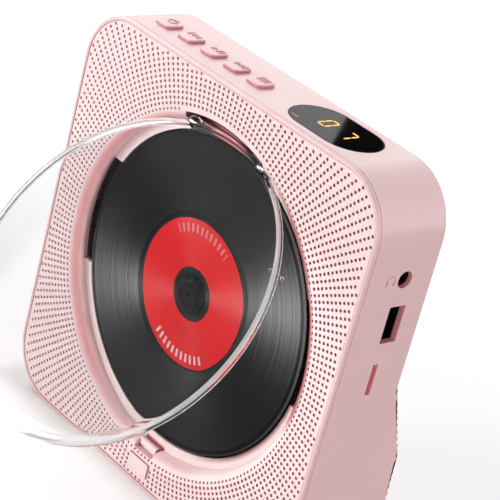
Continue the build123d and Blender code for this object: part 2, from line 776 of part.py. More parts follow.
sockets_front = main_depth + board_t
with BuildPart() as headphone_jack:
    with BuildSketch(side_plane(inner_right)):
        with Locations((jack_depth, jack_z)):
            Rectangle(jack_body, jack_body)
    extrude(amount=-jack_len)
    with BuildSketch(side_plane(inner_right)):
        with Locations((jack_depth, jack_z)):
            Circle(jack_hole_r - fit_gap)
    extrude(amount=wall / 3)
    with BuildSketch(side_plane(inner_right + wall / 3)):
        with Locations((jack_depth, jack_z)):
            Circle(jack_bore_r)
    extrude(amount=-jack_len, mode=Mode.SUBTRACT)
save(headphone_jack.part, "headphone_jack")

usb_back = 2 * (usb_depth - sockets_front)
with BuildPart() as usb_socket:
    with BuildSketch(side_plane(inner_right)):
        with Locations((usb_depth, usb_z)):
            Rectangle(usb_back, usb_w)
    extrude(amount=-usb_len)
    with BuildSketch(side_plane(inner_right)):
        with Locations((usb_depth, usb_z)):
            Rectangle(usb_back - 2 * socket_wall, usb_w - 2 * socket_wall)
            with Locations((-usb_back / 4, 0)):
                Rectangle(1.8, usb_w - 4 * socket_wall, mode=Mode.SUBTRACT)
    extrude(amount=-usb_len + 2 * socket_wall, mode=Mode.SUBTRACT)
save(usb_socket.part, "usb_socket")

card_back = 2 * (card_depth - sockets_front)
with BuildPart() as card_socket:
    with BuildSketch(side_plane(inner_right)):
        with Locations((card_depth, card_z)):
            Rectangle(card_back, card_w + 2 * socket_wall)
    extrude(amount=-card_len)
    with BuildSketch(side_plane(inner_right)):
        with Locations((card_depth, card_z)):
            Rectangle(card_back - 2 * socket_wall, card_w - 2 * socket_wall)
    extrude(amount=-card_len + 2 * socket_wall, mode=Mode.SUBTRACT)
save(card_socket.part, "card_socket")

with BuildPart() as power_socket:
    with BuildSketch(side_plane(-inner_right)):
        with Locations((usb_depth, usb_z)):
            SlotOverall(power_w, power_h, rotation=90)
            SlotOverall(power_w - 2 * socket_wall, power_h - 2 * socket_wall, rotation=90,
                        mode=Mode.SUBTRACT)
    extrude(amount=power_len)
    with BuildSketch(side_plane(-inner_right + power_len - socket_wall)):
        with Locations((usb_depth, usb_z)):
            SlotOverall(power_w, power_h, rotation=90)
    extrude(amount=socket_wall)
    with BuildSketch(side_plane(-inner_right + socket_wall)):
        with Locations((usb_depth, usb_z)):
            Rectangle(socket_wall * 1.4, power_w - 3 * power_h / 2)
    extrude(amount=power_len - socket_wall)
save(power_socket.part, "power_socket")

# ---- speakers behind the lower corners ----------------------------------------------------------
for name, side in (("left", -1), ("right", 1)):
    middle = Plane(origin=(side * speaker_out, front, well_z - speaker_out))
    speaker_axis = Axis(middle.origin, (0, 1, 0))
    speaker_back = panel_back + speaker_t
    with BuildPart() as frame:
        with BuildSketch(middle):
            with BuildLine():
                Polyline((speaker_r, panel_back), (speaker_r, panel_back + 2 * basket_t),
                         (speaker_r - 2 * basket_t, panel_back + 2 * basket_t),
                         (magnet_r, speaker_back), (magnet_r / 2, speaker_back),
                         (magnet_r / 2, speaker_back - basket_t),
                         (magnet_r - basket_t, speaker_back - basket_t),
                         (speaker_r - 3.5 * basket_t, panel_back + basket_t),
                         (speaker_r - 3.5 * basket_t, panel_back), (speaker_r, panel_back))
            make_face()
        revolve(axis=speaker_axis)
    save(frame.part, f"speaker_frame_{name}")
    with BuildPart() as cone:
        with BuildSketch(middle):
            with BuildLine():
                rim_in = speaker_r - 3.5 * basket_t
                cone_back = speaker_back - 2 * basket_t
                Polyline((rim_in, panel_back + basket_t / 2), (magnet_r / 2, cone_back))
                cap_top = cone_back - 1.3 * basket_t
                crown_arc(magnet_r / 2, cap_top, cone_back)
                Line((0, cap_top), (0, cap_top + cone_t))
                crown_arc(magnet_r / 2, cap_top + cone_t, cone_back + cone_t)
                Polyline((magnet_r / 2, cone_back + cone_t), (rim_in, panel_back + basket_t),
                         (rim_in, panel_back + basket_t / 2))
            make_face()
        revolve(axis=speaker_axis)
    save(cone.part, f"speaker_cone_{name}")
    with BuildPart() as magnet:
        with BuildSketch(Plane(origin=(side * speaker_out, front + speaker_back, well_z - speaker_out),
                               x_dir=(1, 0, 0), z_dir=(0, 1, 0))):
            Circle(magnet_r)
        extrude(amount=magnet_t)
        chamfer(magnet.edges().group_by(Axis.Y)[-1], 0.6)
    save(magnet.part, f"speaker_magnet_{name}")

# ---- battery in its cradle on the back cover --------------------------------------------------------
with BuildPart() as battery_cell:
    with BuildSketch(side_plane(-cell_len / 2)):
        with Locations((cell_depth, cell_z)):
            Circle(cell_r)
    extrude(amount=cell_len)
    fillet(battery_cell.edges(), radius=0.6)
save(battery_cell.part, "battery_cell")

with BuildPart() as battery_holder:
    with BuildSketch(side_plane(-cell_len / 2 - fit_gap - holder_wall)):
        with Locations(((cell_depth + cover_front) / 2, cell_z)):
            Rectangle(cover_front - cell_depth, 2 * (cell_r + holder_wall))
    extrude(amount=cell_len + 2 * fit_gap + 2 * holder_wall)
    with BuildSketch(side_plane(-cell_len / 2 - fit_gap)):
        with Locations((cell_depth, cell_z)):
            Circle(cell_r + running_gap)
    extrude(amount=cell_len + 2 * fit_gap, mode=Mode.SUBTRACT)
save(battery_holder.part, "battery_holder")

# ---- back cover with keyholes, and its screws ---------------------------------------------------------
with BuildPart() as back_cover:
    with BuildSketch(body_plane(cover_front)):
        rounded_square(rim + running_gap)
    backwards(cover_t)
    fillet(back_cover.faces().sort_by(Axis.Y)[-1].edges(), radius=panel_round)
    with BuildSketch(Plane(origin=(0, front + cover_front, 0), x_dir=(1, 0, 0), z_dir=(0, -1, 0))):
        with Locations(*[(x, key_z) for x in key_spots]):
            Circle(key_head_r)
        with Locations(*[(x, key_z + key_rise / 2) for x in key_spots]):
            SlotOverall(key_rise + 2 * key_neck_r, 2 * key_neck_r, rotation=90)
        with Locations(*stud_spots):
            Circle(stud_r + running_gap)
    backwards(cover_t, Mode.SUBTRACT)
    with BuildSketch(body_plane(cover_front)):
        with Locations(*tower_spots):
            Circle(screw_shank_r + running_gap)
    backwards(cover_t, Mode.SUBTRACT)
    with BuildSketch(body_plane(cover_back - screw_head_t)):
        with Locations(*tower_spots):
            Circle(screw_head_r + running_gap)
    backwards(screw_head_t, Mode.SUBTRACT)
save(back_cover.part, "back_cover")

with BuildPart() as cover_screws:
    with BuildSketch(body_plane(cover_back - screw_head_t)):
        with Locations(*tower_spots):
            Circle(screw_head_r)
    backwards(screw_head_t)
    with BuildSketch(body_plane(cover_front - screw_len + fit_gap)):
        with Locations(*tower_spots):
            Circle(screw_shank_r)
    backwards(screw_len + cover_t - screw_head_t - fit_gap)
    with BuildSketch(body_plane(cover_back - screw_head_t / 2)):
        with Locations(*tower_spots):
            Rectangle(screw_head_r, screw_head_t / 3)
            Rectangle(screw_head_t / 3, screw_head_r)
    backwards(screw_head_t / 2, Mode.SUBTRACT)
save(cover_screws.part, "cover_screws")

# ---- desk stand: a hollow moulded wedge with a waved back, its closing plate and its pads ----------
stand_front = depth + fit_gap
stand_low = stand_pad_t
stand_wave = [(stand_front + back * stand_back, up * stand_top)
              for back, up in ((0.03, 1), (0.3, 0.83), (0.84, 0.56), (0.95, 0.3))]
stand_wave.append((stand_front + stand_back, stand_low))
stand_pad_spots = [(side * (stand_half - stand_pad_w), stand_front + stand_back / 2) for side in (-1, 1)]
with BuildPart() as desk_stand:
    with BuildSketch(side_plane(-stand_half)) as stand_side:
        with BuildLine():
            FilletPolyline(*stand_wave, radius=stand_back)
            Polyline(stand_wave[-1], (stand_front, stand_low), (stand_front, stand_top), stand_wave[0])
        make_face()
    extrude(amount=2 * stand_half)
    with BuildSketch(side_plane(-stand_half + stand_wall)):
        add(stand_side.sketch_local)
        offset(amount=-stand_wall)
        with Locations((stand_front, (stand_top + stand_low) / 2)):
            Rectangle(3 * stand_wall, stand_top - stand_low - 8 * stand_wall)
    extrude(amount=2 * (stand_half - stand_wall), mode=Mode.SUBTRACT)
    with BuildSketch(level_plane(stand_low)):
        with Locations(*stand_pad_spots):
            RectangleRounded(stand_pad_w + 2 * fit_gap, stand_pad_d + 2 * fit_gap, 2.0 + fit_gap)
    extrude(amount=stand_wall / 3, mode=Mode.SUBTRACT)
save(desk_stand.part, "desk_stand")

with BuildPart() as stand_plate:
    with BuildSketch(Plane(origin=(0, front + stand_front, 0), x_dir=(1, 0, 0), z_dir=(0, -1, 0))):
        with Locations((0, (stand_top + stand_low) / 2)):
            Rectangle(2 * (stand_half - stand_wall - running_gap),
                      stand_top - stand_low - 8 * stand_wall - 2 * running_gap)
    backwards(1.5 * stand_wall - running_gap)
    with BuildSketch(Plane(origin=(0, front + stand_front - stud_len, 0), x_dir=(1, 0, 0),
                           z_dir=(0, -1, 0))):
        with Locations(*stud_spots):
            Circle(stud_r)
    backwards(stud_len)
    fillet(stand_plate.faces().group_by(Axis.Y)[0].edges(), radius=0.6)
save(stand_plate.part, "stand_plate")

with BuildPart() as stand_pads:
    with BuildSketch(level_plane(0)):
        with Locations(*stand_pad_spots):
            RectangleRounded(stand_pad_w, stand_pad_d, 2.0)
    extrude(amount=stand_low + stand_wall / 3)
save(stand_pads.part, "stand_pads")
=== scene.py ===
import json
import math
import bmesh
import bpy
from mathutils import Matrix, Vector

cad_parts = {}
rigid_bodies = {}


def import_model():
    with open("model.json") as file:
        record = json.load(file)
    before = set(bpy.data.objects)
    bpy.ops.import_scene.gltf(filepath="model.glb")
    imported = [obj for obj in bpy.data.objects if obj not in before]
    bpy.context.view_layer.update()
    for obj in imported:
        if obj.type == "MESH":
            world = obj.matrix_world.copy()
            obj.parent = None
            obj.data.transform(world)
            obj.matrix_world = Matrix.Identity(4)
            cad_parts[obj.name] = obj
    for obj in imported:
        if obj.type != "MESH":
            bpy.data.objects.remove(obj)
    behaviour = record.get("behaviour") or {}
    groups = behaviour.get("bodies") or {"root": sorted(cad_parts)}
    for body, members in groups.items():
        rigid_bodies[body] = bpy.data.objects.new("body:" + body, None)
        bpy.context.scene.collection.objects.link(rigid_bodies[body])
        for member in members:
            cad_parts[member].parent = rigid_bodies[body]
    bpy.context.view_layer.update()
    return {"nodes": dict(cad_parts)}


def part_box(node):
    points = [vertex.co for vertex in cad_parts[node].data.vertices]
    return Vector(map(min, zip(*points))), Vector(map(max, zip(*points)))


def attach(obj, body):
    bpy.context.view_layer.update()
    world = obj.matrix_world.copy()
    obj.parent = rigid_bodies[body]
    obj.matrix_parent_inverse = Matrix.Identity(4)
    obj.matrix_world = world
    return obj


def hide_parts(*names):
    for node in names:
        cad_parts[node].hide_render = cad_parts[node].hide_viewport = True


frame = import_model()

# ---- camera ------------------------------------------------------------------------------------
# A long lens looks down on the player from its upper right, and is tilted a little so that the
# player leans across the frame.
turn, rise, roll = (math.radians(a) for a in (43.59, 24.07, 15.06))
aim, distance, lens = Vector((0.02755, -0.0165, 0.11524)), 0.70228, 144.29
towards = Vector((math.sin(turn) * math.cos(rise), -math.cos(turn) * math.cos(rise), math.sin(rise)))
level = (-towards).cross(Vector((0, 0, 1))).normalized()
upright = level.cross(-towards)
across = math.cos(roll) * level + math.sin(roll) * upright
tall = -math.sin(roll) * level + math.cos(roll) * upright
bpy.ops.object.camera_add()
camera = bpy.context.object
camera.matrix_world = Matrix.Translation(aim + distance * towards) @ Matrix(
    (across, tall, towards)).transposed().to_4x4()
camera.data.lens = lens
camera.data.clip_start = 0.02
bpy.context.scene.camera = camera

# ---- studio: floor, lamps and the white room -----------------------------------------------------
# A wide pale floor that runs on out of sight, a large soft lamp high on the left and a weak one on
# the right. The room shows white behind the player and in its glossy parts.
bpy.context.scene.view_settings.view_transform = "Standard"


def shader(name):
    """A new material with its tree, its surface shader and its output."""
    finish = bpy.data.materials.new(name)
    finish.use_nodes = True
    tree = finish.node_tree
    return finish, tree, tree.nodes["Principled BSDF"], tree.nodes["Material Output"]


def node(tree, kind, inputs=None, **settings):
    """One node with its settings and its socket values or links."""
    made = tree.nodes.new(kind)
    for key, value in settings.items():
        setattr(made, key, value)
    for key, value in (inputs or {}).items():
        if isinstance(value, bpy.types.NodeSocket):
            tree.links.new(value, made.inputs[key])
        else:
            made.inputs[key].default_value = value
    return made


def sum_of(tree, kind, a, b=0.0, clamp=False):
    """One arithmetic node."""
    return node(tree, "ShaderNodeMath", {0: a, 1: b}, operation=kind, use_clamp=clamp).outputs[0]


def times(tree, a, b, clamp=False):
    """The product of two values."""
    return sum_of(tree, "MULTIPLY", a, b, clamp)


def size_of(tree, a):
    """A value without its sign."""
    return sum_of(tree, "ABSOLUTE", a)


def within(tree, value, reach, middle=0.0):
    """1 where the value lies nearer to the middle than the reach."""
    apart = sum_of(tree, "SUBTRACT", value, middle) if middle else value
    return sum_of(tree, "LESS_THAN", size_of(tree, apart), reach)


def here(tree):
    """The shaded point's own place, in metres."""
    return node(tree, "ShaderNodeTexCoord").outputs["Object"]


def ranged(tree, value, low, high, start=0.0, end=1.0, kind="LINEAR"):
    """Carry a value from the range low to high to the range start to end."""
    return node(tree, "ShaderNodeMapRange", {"Value": value, "From Min": low, "From Max": high, "To Min": start,
                                             "To Max": end}, interpolation_type=kind).outputs[0]


def seen_rays(tree):
    """Masks of what the lens sees, straight or through clear parts, and of what a gloss mirrors."""
    sight = node(tree, "ShaderNodeLightPath")
    lit = sum_of(tree, "ADD", sight.outputs["Diffuse Depth"], sight.outputs["Glossy Depth"])
    through = times(tree, sight.outputs["Is Transmission Ray"], sum_of(tree, "LESS_THAN", lit, 0.5))
    return sum_of(tree, "MAXIMUM", sight.outputs["Is Camera Ray"], through), sight.outputs["Is Glossy Ray"]


floor_paint, tree, surface, output = shader("floor_paint")
surface.inputs["Base Color"].default_value = (0.80, 0.80, 0.80, 1)
surface.inputs["Roughness"].default_value = 0.9
surface.inputs["Specular IOR Level"].default_value = 0.1
straight, mirrored = seen_rays(tree)
seen = sum_of(tree, "MAXIMUM", straight, times(tree, mirrored, 0.15))
# painted contact shadow: the floor's glow is dimmed near the player's foot
foot = (0.0825, 0.0165, 0)
apart = node(tree, "ShaderNodeVectorMath", {0: here(tree)}, operation="ABSOLUTE")
apart = node(tree, "ShaderNodeVectorMath", {0: apart.outputs[0], 1: foot}, operation="SUBTRACT")
apart = node(tree, "ShaderNodeVectorMath", {0: apart.outputs[0], 1: (0, 0, 0)}, operation="MAXIMUM")
apart = node(tree, "ShaderNodeVectorMath", {0: apart.outputs[0]}, operation="LENGTH").outputs["Value"]
painted_shadow_glow = ranged(tree, apart, -0.001, 0.012, 0.12, 0.35, "SMOOTHSTEP")
far_off = ranged(tree, apart, 0.15, 0.6, 0.0, 0.4)
glow = node(tree, "ShaderNodeEmission", {"Color": (1, 1, 1, 1),
                                         "Strength": sum_of(tree, "ADD", painted_shadow_glow, far_off)})
lift = node(tree, "ShaderNodeMixShader", {0: seen})
both = node(tree, "ShaderNodeAddShader", {0: surface.outputs[0], 1: glow.outputs[0]})
tree.links.new(surface.outputs[0], lift.inputs[1])
tree.links.new(both.outputs[0], lift.inputs[2])
tree.links.new(lift.outputs[0], output.inputs["Surface"])


def alone():
    """Nothing selected, in object mode, before the next primitive."""
    if bpy.context.object and bpy.context.object.mode == "EDIT":
        bpy.ops.object.mode_set(mode="OBJECT")
    bpy.ops.object.select_all(action="DESELECT")


alone()
bpy.ops.mesh.primitive_plane_add(size=8)
floor = bpy.context.object
floor.name = "floor"
floor.data.materials.append(floor_paint)

room = bpy.data.worlds.new("room")
bpy.context.scene.world = room
room.use_nodes = True
tree = room.node_tree
sky = tree.nodes["Background"]
sky.inputs["Color"].default_value = (1, 1, 1, 1)
straight, mirrored = seen_rays(tree)
way = node(tree, "ShaderNodeSeparateXYZ", {0: node(tree, "ShaderNodeTexCoord").outputs["Generated"]})
back_wall = ranged(tree, way.outputs["X"], -0.74, -0.60, 1.2, 2.3)
front_wall = ranged(tree, way.outputs["X"], -0.67, -0.57, 0.05, 0.22)
behind = ranged(tree, way.outputs["Y"], -0.1, 0.5)
walls = node(tree, "ShaderNodeMix", {0: behind, 2: front_wall, 3: back_wall})
shown = node(tree, "ShaderNodeMix", {0: mirrored, 2: 0.42, 3: walls.outputs[0]})
power = node(tree, "ShaderNodeMix", {0: straight, 2: shown.outputs[0], 3: 1.0})
tree.links.new(power.outputs[0], sky.inputs["Strength"])


lamps_aim = Vector((0, 0, 0.08))


def lamp(name, spot, size, watts):
    """A square soft lamp that faces the middle of the player."""
    bpy.ops.object.light_add(type="AREA", location=spot)
    made = bpy.context.object
    made.name = name
    made.data.size = size
    made.data.energy = watts
    made.visible_camera = False
    made.rotation_euler = (lamps_aim - Vector(spot)).to_track_quat("-Z", "Y").to_euler()
    return made


lamp("left_lamp", (-1.1, -1.2, 0.32), 0.55, 17.2)
lamp("right_lamp", (1.3, 0.3, 0.31), 0.5, 2.3)
lamp("corner_lamp", (1.05, -0.75, 0.32), 0.5, 3.8)
lamp("near_lamp", (-0.32, 0.02, 0.36), 0.25, 0.8)

# two strip lamps that graze the disc alone and draw its bright wedges
on_disc = bpy.data.collections.new("on_disc")
for name, spot, wide, high, watts in (("right_strip", (1.2, -0.74, 0.17), 0.7, 0.9, 2250),
                                      ("left_strip", (-1.2, -0.74, 0.26), 0.3, 0.5, 20)):
    strip = lamp(name, spot, wide, watts)
    strip.data.shape, strip.data.size_y = "RECTANGLE", high
    strip.light_linking.receiver_collection = on_disc
    strip.visible_diffuse = False

# a black card behind the player that only its glossy top shows
alone()
bpy.ops.mesh.primitive_plane_add(size=1, location=(-0.7326, 0.9, 0.607),
                                 rotation=(math.pi / 2, math.radians(-15), 0))
card = bpy.context.object
card.name = "black_card"
card.scale = (0.072, 0.16, 1)
card.visible_camera = card.visible_diffuse = card.visible_transmission = card.visible_shadow = False
card_black, tree, surface, _ = shader("card_black")
surface.inputs["Base Color"].default_value = (0.004, 0.004, 0.004, 1)
surface.inputs["Roughness"].default_value = 1.0
surface.inputs["Specular IOR Level"].default_value = 0.0
card.data.materials.append(card_black)

# ---- the perforated front and its well -------------------------------------------------------------
# One moulding in satin pink ABS: a flat face drilled with rings of fine blind holes, a soft
# shoulder that rolls into the round well, the ledge round the disc, the hinge pocket and the
# latch notch. It drops into the rim of the shell. Shade in its holes, its well, the pocket, the notch and the seam
# round its edge is painted into its colour.
front_y = -0.0165
well_at = Vector((0, front_y, 0.0815))


def blended(tree, mask, under, over):
    """One colour over another by a mask; each is a socket or three numbers."""
    under, over = (c if isinstance(c, bpy.types.NodeSocket) else (*c, 1) for c in (under, over))
    return node(tree, "ShaderNodeMix", {0: mask, 6: under, 7: over}, data_type="RGBA").outputs[2]


def plastic_group():
    """Fine moulded grain: a colour, a roughness and a height that vary over the surface."""
    group = bpy.data.node_groups.new("moulded grain", "ShaderNodeTree")
    for name, kind, value in (("Colour", "NodeSocketColor", (0.8, 0.8, 0.8, 1)),
                              ("Shade", "NodeSocketColor", (0.7, 0.7, 0.7, 1)),
                              ("Grain size", "NodeSocketFloat", 2200.0),
                              ("Sheen low", "NodeSocketFloat", 0.4),
                              ("Sheen high", "NodeSocketFloat", 0.5)):
        made = group.interface.new_socket(name, in_out="INPUT", socket_type=kind)
        made.default_value = value
    for name, kind in (("Colour", "NodeSocketColor"), ("Roughness", "NodeSocketFloat"),
                       ("Height", "NodeSocketFloat")):
        group.interface.new_socket(name, in_out="OUTPUT", socket_type=kind)
    given = node(group, "NodeGroupInput")
    result = node(group, "NodeGroupOutput")
    place = here(group)
    flow = node(group, "ShaderNodeTexNoise", {"Vector": place, "Scale": 34.0, "Detail": 3.0, "Roughness": 0.55})
    soft = ranged(group, flow.outputs["Fac"], 0.3, 0.7, 0.0, 0.35)
    grain = node(group, "ShaderNodeTexNoise", {"Vector": place, "Scale": given.outputs["Grain size"],
                                               "Detail": 2.0, "Roughness": 0.6})
    tint = blended(group, soft, given.outputs["Colour"], given.outputs["Shade"])
    gloss = ranged(group, grain.outputs["Fac"], 0.3, 0.7, given.outputs["Sheen low"], given.outputs["Sheen high"])
    group.links.new(tint, result.inputs["Colour"])
    group.links.new(gloss, result.inputs["Roughness"])
    group.links.new(grain.outputs["Fac"], result.inputs["Height"])
    return group


grain_group = plastic_group()


def moulded(name, colour, shade, grain=2200.0, sheen=(0.42, 0.52), bump=0.05, coat=0.0, coat_blur=0.03):
    """A moulded plastic finish with its grain."""
    finish, tree, surface, _ = shader(name)
    skin = node(tree, "ShaderNodeGroup", node_tree=grain_group)
    skin.inputs["Colour"].default_value = (*colour, 1)
    skin.inputs["Shade"].default_value = (*shade, 1)
    skin.inputs["Grain size"].default_value = grain
    skin.inputs["Sheen low"].default_value, skin.inputs["Sheen high"].default_value = sheen
    relief = node(tree, "ShaderNodeBump", {"Height": skin.outputs["Height"], "Strength": bump,
                                           "Distance": 0.0001})
    tree.links.new(skin.outputs["Colour"], surface.inputs["Base Color"])
    tree.links.new(skin.outputs["Roughness"], surface.inputs["Roughness"])
    tree.links.new(relief.outputs["Normal"], surface.inputs["Normal"])
    surface.inputs["Coat Weight"].default_value = coat
    surface.inputs["Coat Roughness"].default_value = coat_blur
    return finish


def linear(r, g, b):
    """A screen colour from 0 to 255 as the shader's own numbers."""
    return tuple((c / 255 / 12.92) if c <= 10 else ((c / 255 + 0.055) / 1.055) ** 2.4
                 for c in (r, g, b))


panel_pink = moulded("panel_pink", linear(236, 214, 213), linear(233, 209, 209))
# the holes' floors and walls: a darker rose, painted shade in the holes
hole_shade_rose = moulded("hole_shade_rose", linear(218, 156, 166), linear(211, 147, 157), bump=0.0, sheen=(0.8, 0.9))


def eased(tree, value, low, high):
    """0 at low and 1 at high, eased between them and level beyond."""
    return ranged(tree, value, low, high, kind="SMOOTHSTEP")


def tinted(finish, *layers):
    """Lay colours over a finish's own, each by its mask."""
    tree = finish.node_tree
    colour = next(n for n in tree.nodes if n.type == "GROUP").outputs["Colour"]
    for mask, over in layers:
        colour = blended(tree, mask, colour, over)
    tree.links.new(colour, tree.nodes["Principled BSDF"].inputs["Base Color"])


def about_well(tree):
    """Millimetres from the disc's axis across, back and up, and the radius about it."""
    shift = node(tree, "ShaderNodeVectorMath", {0: here(tree), 1: tuple(well_at)}, operation="SUBTRACT")
    scaled = node(tree, "ShaderNodeVectorMath", {0: shift.outputs[0], 1: (1000, 1000, 1000)}, operation="MULTIPLY")
    flat = node(tree, "ShaderNodeVectorMath", {0: scaled.outputs[0], 1: (1, 0, 1)}, operation="MULTIPLY")
    apart = node(tree, "ShaderNodeSeparateXYZ", {0: scaled.outputs[0]})
    radius = node(tree, "ShaderNodeVectorMath", {0: flat.outputs[0]}, operation="LENGTH").outputs["Value"]
    return apart.outputs["X"], apart.outputs["Y"], apart.outputs["Z"], radius


tree = panel_pink.node_tree
across, back, up, radius = about_well(tree)
# painted shade: the well's valley in darker rose, deeper on the right side
right = eased(tree, across, 5.0, 45.0)
outer = times(tree, right, 1.3)
fall = sum_of(tree, "SUBTRACT", 1.0, eased(tree, sum_of(tree, "SUBTRACT", radius, outer), 65.9, 68.9))
painted_valley_shade = times(tree, eased(tree, radius, 64.4, 65.6), fall)
beside = eased(tree, size_of(tree, across), 12.0, 50.0)
painted_valley_shade = times(tree, painted_valley_shade, sum_of(tree, "ADD", times(tree, beside, 0.55), 0.5), clamp=True)
low_right = times(tree, eased(tree, across, 12.0, 34.0), eased(tree, up, -8.0, -24.0))
painted_valley_shade = times(tree, painted_valley_shade, sum_of(tree, "SUBTRACT", 1.0, low_right))
edge_shade = times(tree, eased(tree, across, 12.0, 44.0), eased(tree, radius, 63.4, 60.8))
shaded = blended(tree, right, linear(224, 158, 160), linear(160, 70, 74))
# painted shade: the hinge pocket in rose, dark maroon at its ends and along its top
pocket_shade = times(tree, within(tree, across, 22.4),
                  times(tree, eased(tree, back, 0.6, 2.2), sum_of(tree, "GREATER_THAN", up, 50.0)))
far_up = node(tree, "ShaderNodeCombineXYZ", {0: sum_of(tree, "ADD", across, 9.5), 1: sum_of(tree, "ADD", up, 5.2)})
far_up = node(tree, "ShaderNodeVectorMath", {0: far_up.outputs[0]}, operation="LENGTH").outputs["Value"]
pocket_end_shade = sum_of(tree, "MAXIMUM", eased(tree, across, 0.0, 12.0), eased(tree, far_up, 66.6, 68.4))
pocket_end_shade = sum_of(tree, "MAXIMUM", pocket_end_shade, eased(tree, across, -19.0, -21.5))
# painted shade: a rose line along the face's outer edge, where it meets the shell
past = [sum_of(tree, "MAXIMUM", sum_of(tree, "SUBTRACT", size_of(tree, way), 60.7), 0.0)
        for way in (across, sum_of(tree, "SUBTRACT", up, 1.0))]
past = node(tree, "ShaderNodeCombineXYZ", {0: past[0], 1: past[1]})
corner_reach = node(tree, "ShaderNodeVectorMath", {0: past.outputs[0]}, operation="LENGTH").outputs["Value"]
# painted shade: the latch notch's walls in rose
notch_shade = times(tree, eased(tree, back, 0.7, 1.4),
                 times(tree, within(tree, across, 5.5), within(tree, up, 2.5, -66.0)))
tinted(panel_pink, (painted_valley_shade, shaded), (edge_shade, linear(116, 44, 50)), (notch_shade, linear(228, 170, 172)),
       (pocket_shade, linear(206, 120, 126)), (times(tree, pocket_shade, pocket_end_shade), linear(96, 34, 42)),
       (eased(tree, corner_reach, 19.95, 20.12), linear(206, 126, 132)))
# painted shade: the holes darker towards the right
tree = hole_shade_rose.node_tree
tinted(hole_shade_rose, (eased(tree, about_well(tree)[0], -40.0, 70.0), linear(198, 108, 114)))


def hold(*pieces):
    """Only these pieces selected, in object mode, and the first one active."""
    alone()
    for piece in pieces:
        piece.select_set(True)
    bpy.context.view_layer.objects.active = pieces[0]


def dress(piece, *finishes):
    """Give a piece its finishes in order."""
    piece.data.materials.clear()
    for finish in finishes:
        piece.data.materials.append(finish)


def placed(name):
    """Name the primitive just added and set its place into its mesh."""
    made = bpy.context.object
    made.name = made.data.name = name
    bpy.ops.object.transform_apply(location=True, rotation=True, scale=True)
    return made


def turned(name, profile, centre, axis, steps):
    """Draw a line of points and spin it once round the axis."""
    alone()
    bpy.ops.mesh.primitive_plane_add(size=0.0002, location=profile[0])
    made = placed(name)
    bpy.ops.object.mode_set(mode="EDIT")
    bpy.ops.mesh.select_mode(type="VERT")
    bpy.ops.mesh.select_all(action="SELECT")
    bpy.ops.mesh.merge(type="CENTER")
    for start, end in zip(profile, profile[1:]):
        bpy.ops.mesh.extrude_vertices_move(TRANSFORM_OT_translate={"value": Vector(end) - Vector(start)})
    bpy.ops.mesh.select_all(action="SELECT")
    bpy.ops.mesh.spin(steps=steps, angle=2 * math.pi, center=centre, axis=axis)
    bpy.ops.mesh.select_all(action="SELECT")
    bpy.ops.mesh.remove_doubles(threshold=2e-6)
    bpy.ops.mesh.normals_make_consistent(inside=False)
    bpy.ops.object.mode_set(mode="OBJECT")
    return made


def choose(piece, wanted, kind="FACE"):
    """Select just the faces or the edges that pass a test, in edit mode."""
    bpy.ops.mesh.select_mode(type=kind)
    bpy.ops.mesh.select_all(action="DESELECT")
    shape = bmesh.from_edit_mesh(piece.data)
    for one in shape.faces if kind == "FACE" else shape.edges:
        one.select_set(wanted(one))
    bmesh.update_edit_mesh(piece.data)


def run_of(edge):
    """How far an edge goes along each axis."""
    return edge.verts[0].co - edge.verts[1].co


def swung(point, degrees, axis):
    """A turn about an axis through a point."""
    return Matrix.Translation(point) @ Matrix.Rotation(math.radians(degrees), 4, axis) @ Matrix.Translation(-point)


def around_well(points):
    """Radii from the disc's axis and depths behind the front, in millimetres, as points beside the axis."""
    return [well_at + Vector((r, d, 0)) / 1000 for r, d in points]


def box(name, low, high):
    """A block between two corners, in millimetres from the well's middle and the front plane."""
    alone()
    low, high = Vector(low) / 1000, Vector(high) / 1000
    bpy.ops.mesh.primitive_cube_add(size=1, location=well_at + (low + high) / 2, scale=high - low)
    return placed(name)


def carve(body, tool, operation="DIFFERENCE"):
    """Cut the tool out of the body, join it on, or keep what they share; the tool is used up."""
    hold(body)
    step = body.modifiers.new("carve", "BOOLEAN")
    step.operation, step.object, step.solver = operation, tool, "EXACT"
    bpy.ops.object.modifier_apply(modifier=step.name)
    bpy.data.objects.remove(tool)


def slab_of(name, radius, front, back, *cuts):
    """A round slab about the disc's axis, cut by planes (a point on it and the side cleared)."""
    made = turned(name, around_well([(0.001, front), (radius, front), (radius, back), (0.001, back)]),
                  well_at, (0, 1, 0), 200)
    bpy.ops.object.mode_set(mode="EDIT")
    for spot, side in cuts:
        bpy.ops.mesh.select_all(action="SELECT")
        bpy.ops.mesh.bisect(plane_co=well_at + Vector(spot) / 1000, plane_no=side, use_fill=True,
                            clear_outer=True)
    bpy.ops.object.mode_set(mode="OBJECT")
    return made


def sides(half):
    """The two cuts that leave what lies between upright planes."""
    return ((half, 0, 0), (1, 0, 0)), ((-half, 0, 0), (-1, 0, 0))


rays, pitch, first_ring, rings = 200, 2.0, 68.98, 20
wall_r, face_depth, ledge_depth, well_depth = 65, 0.3, 6.2, 8.0
shoulder = [(70.0 - 5.0 * math.sin(a), 4.8 - 4.5 * math.cos(a))
            for a in [math.radians(23.7 + 66.3 * i / 8) for i in range(9)]]
ring_edges = [first_ring + pitch * (k + 0.5) for k in range(rings)]
outline = ([(wall_r, well_depth), (wall_r, ledge_depth)] + shoulder[::-1] + [(r, face_depth) for r in ring_edges]
           + [(ring_edges[-1], 2.3), (70, 2.3), (68, 3.2), (67, 4.8), (67, well_depth), (wall_r, well_depth)])
panel = turned("perforated_front", around_well(outline), well_at, (0, 1, 0), rays)
panel.data.transform(swung(well_at, 180 / rays, "Y"))

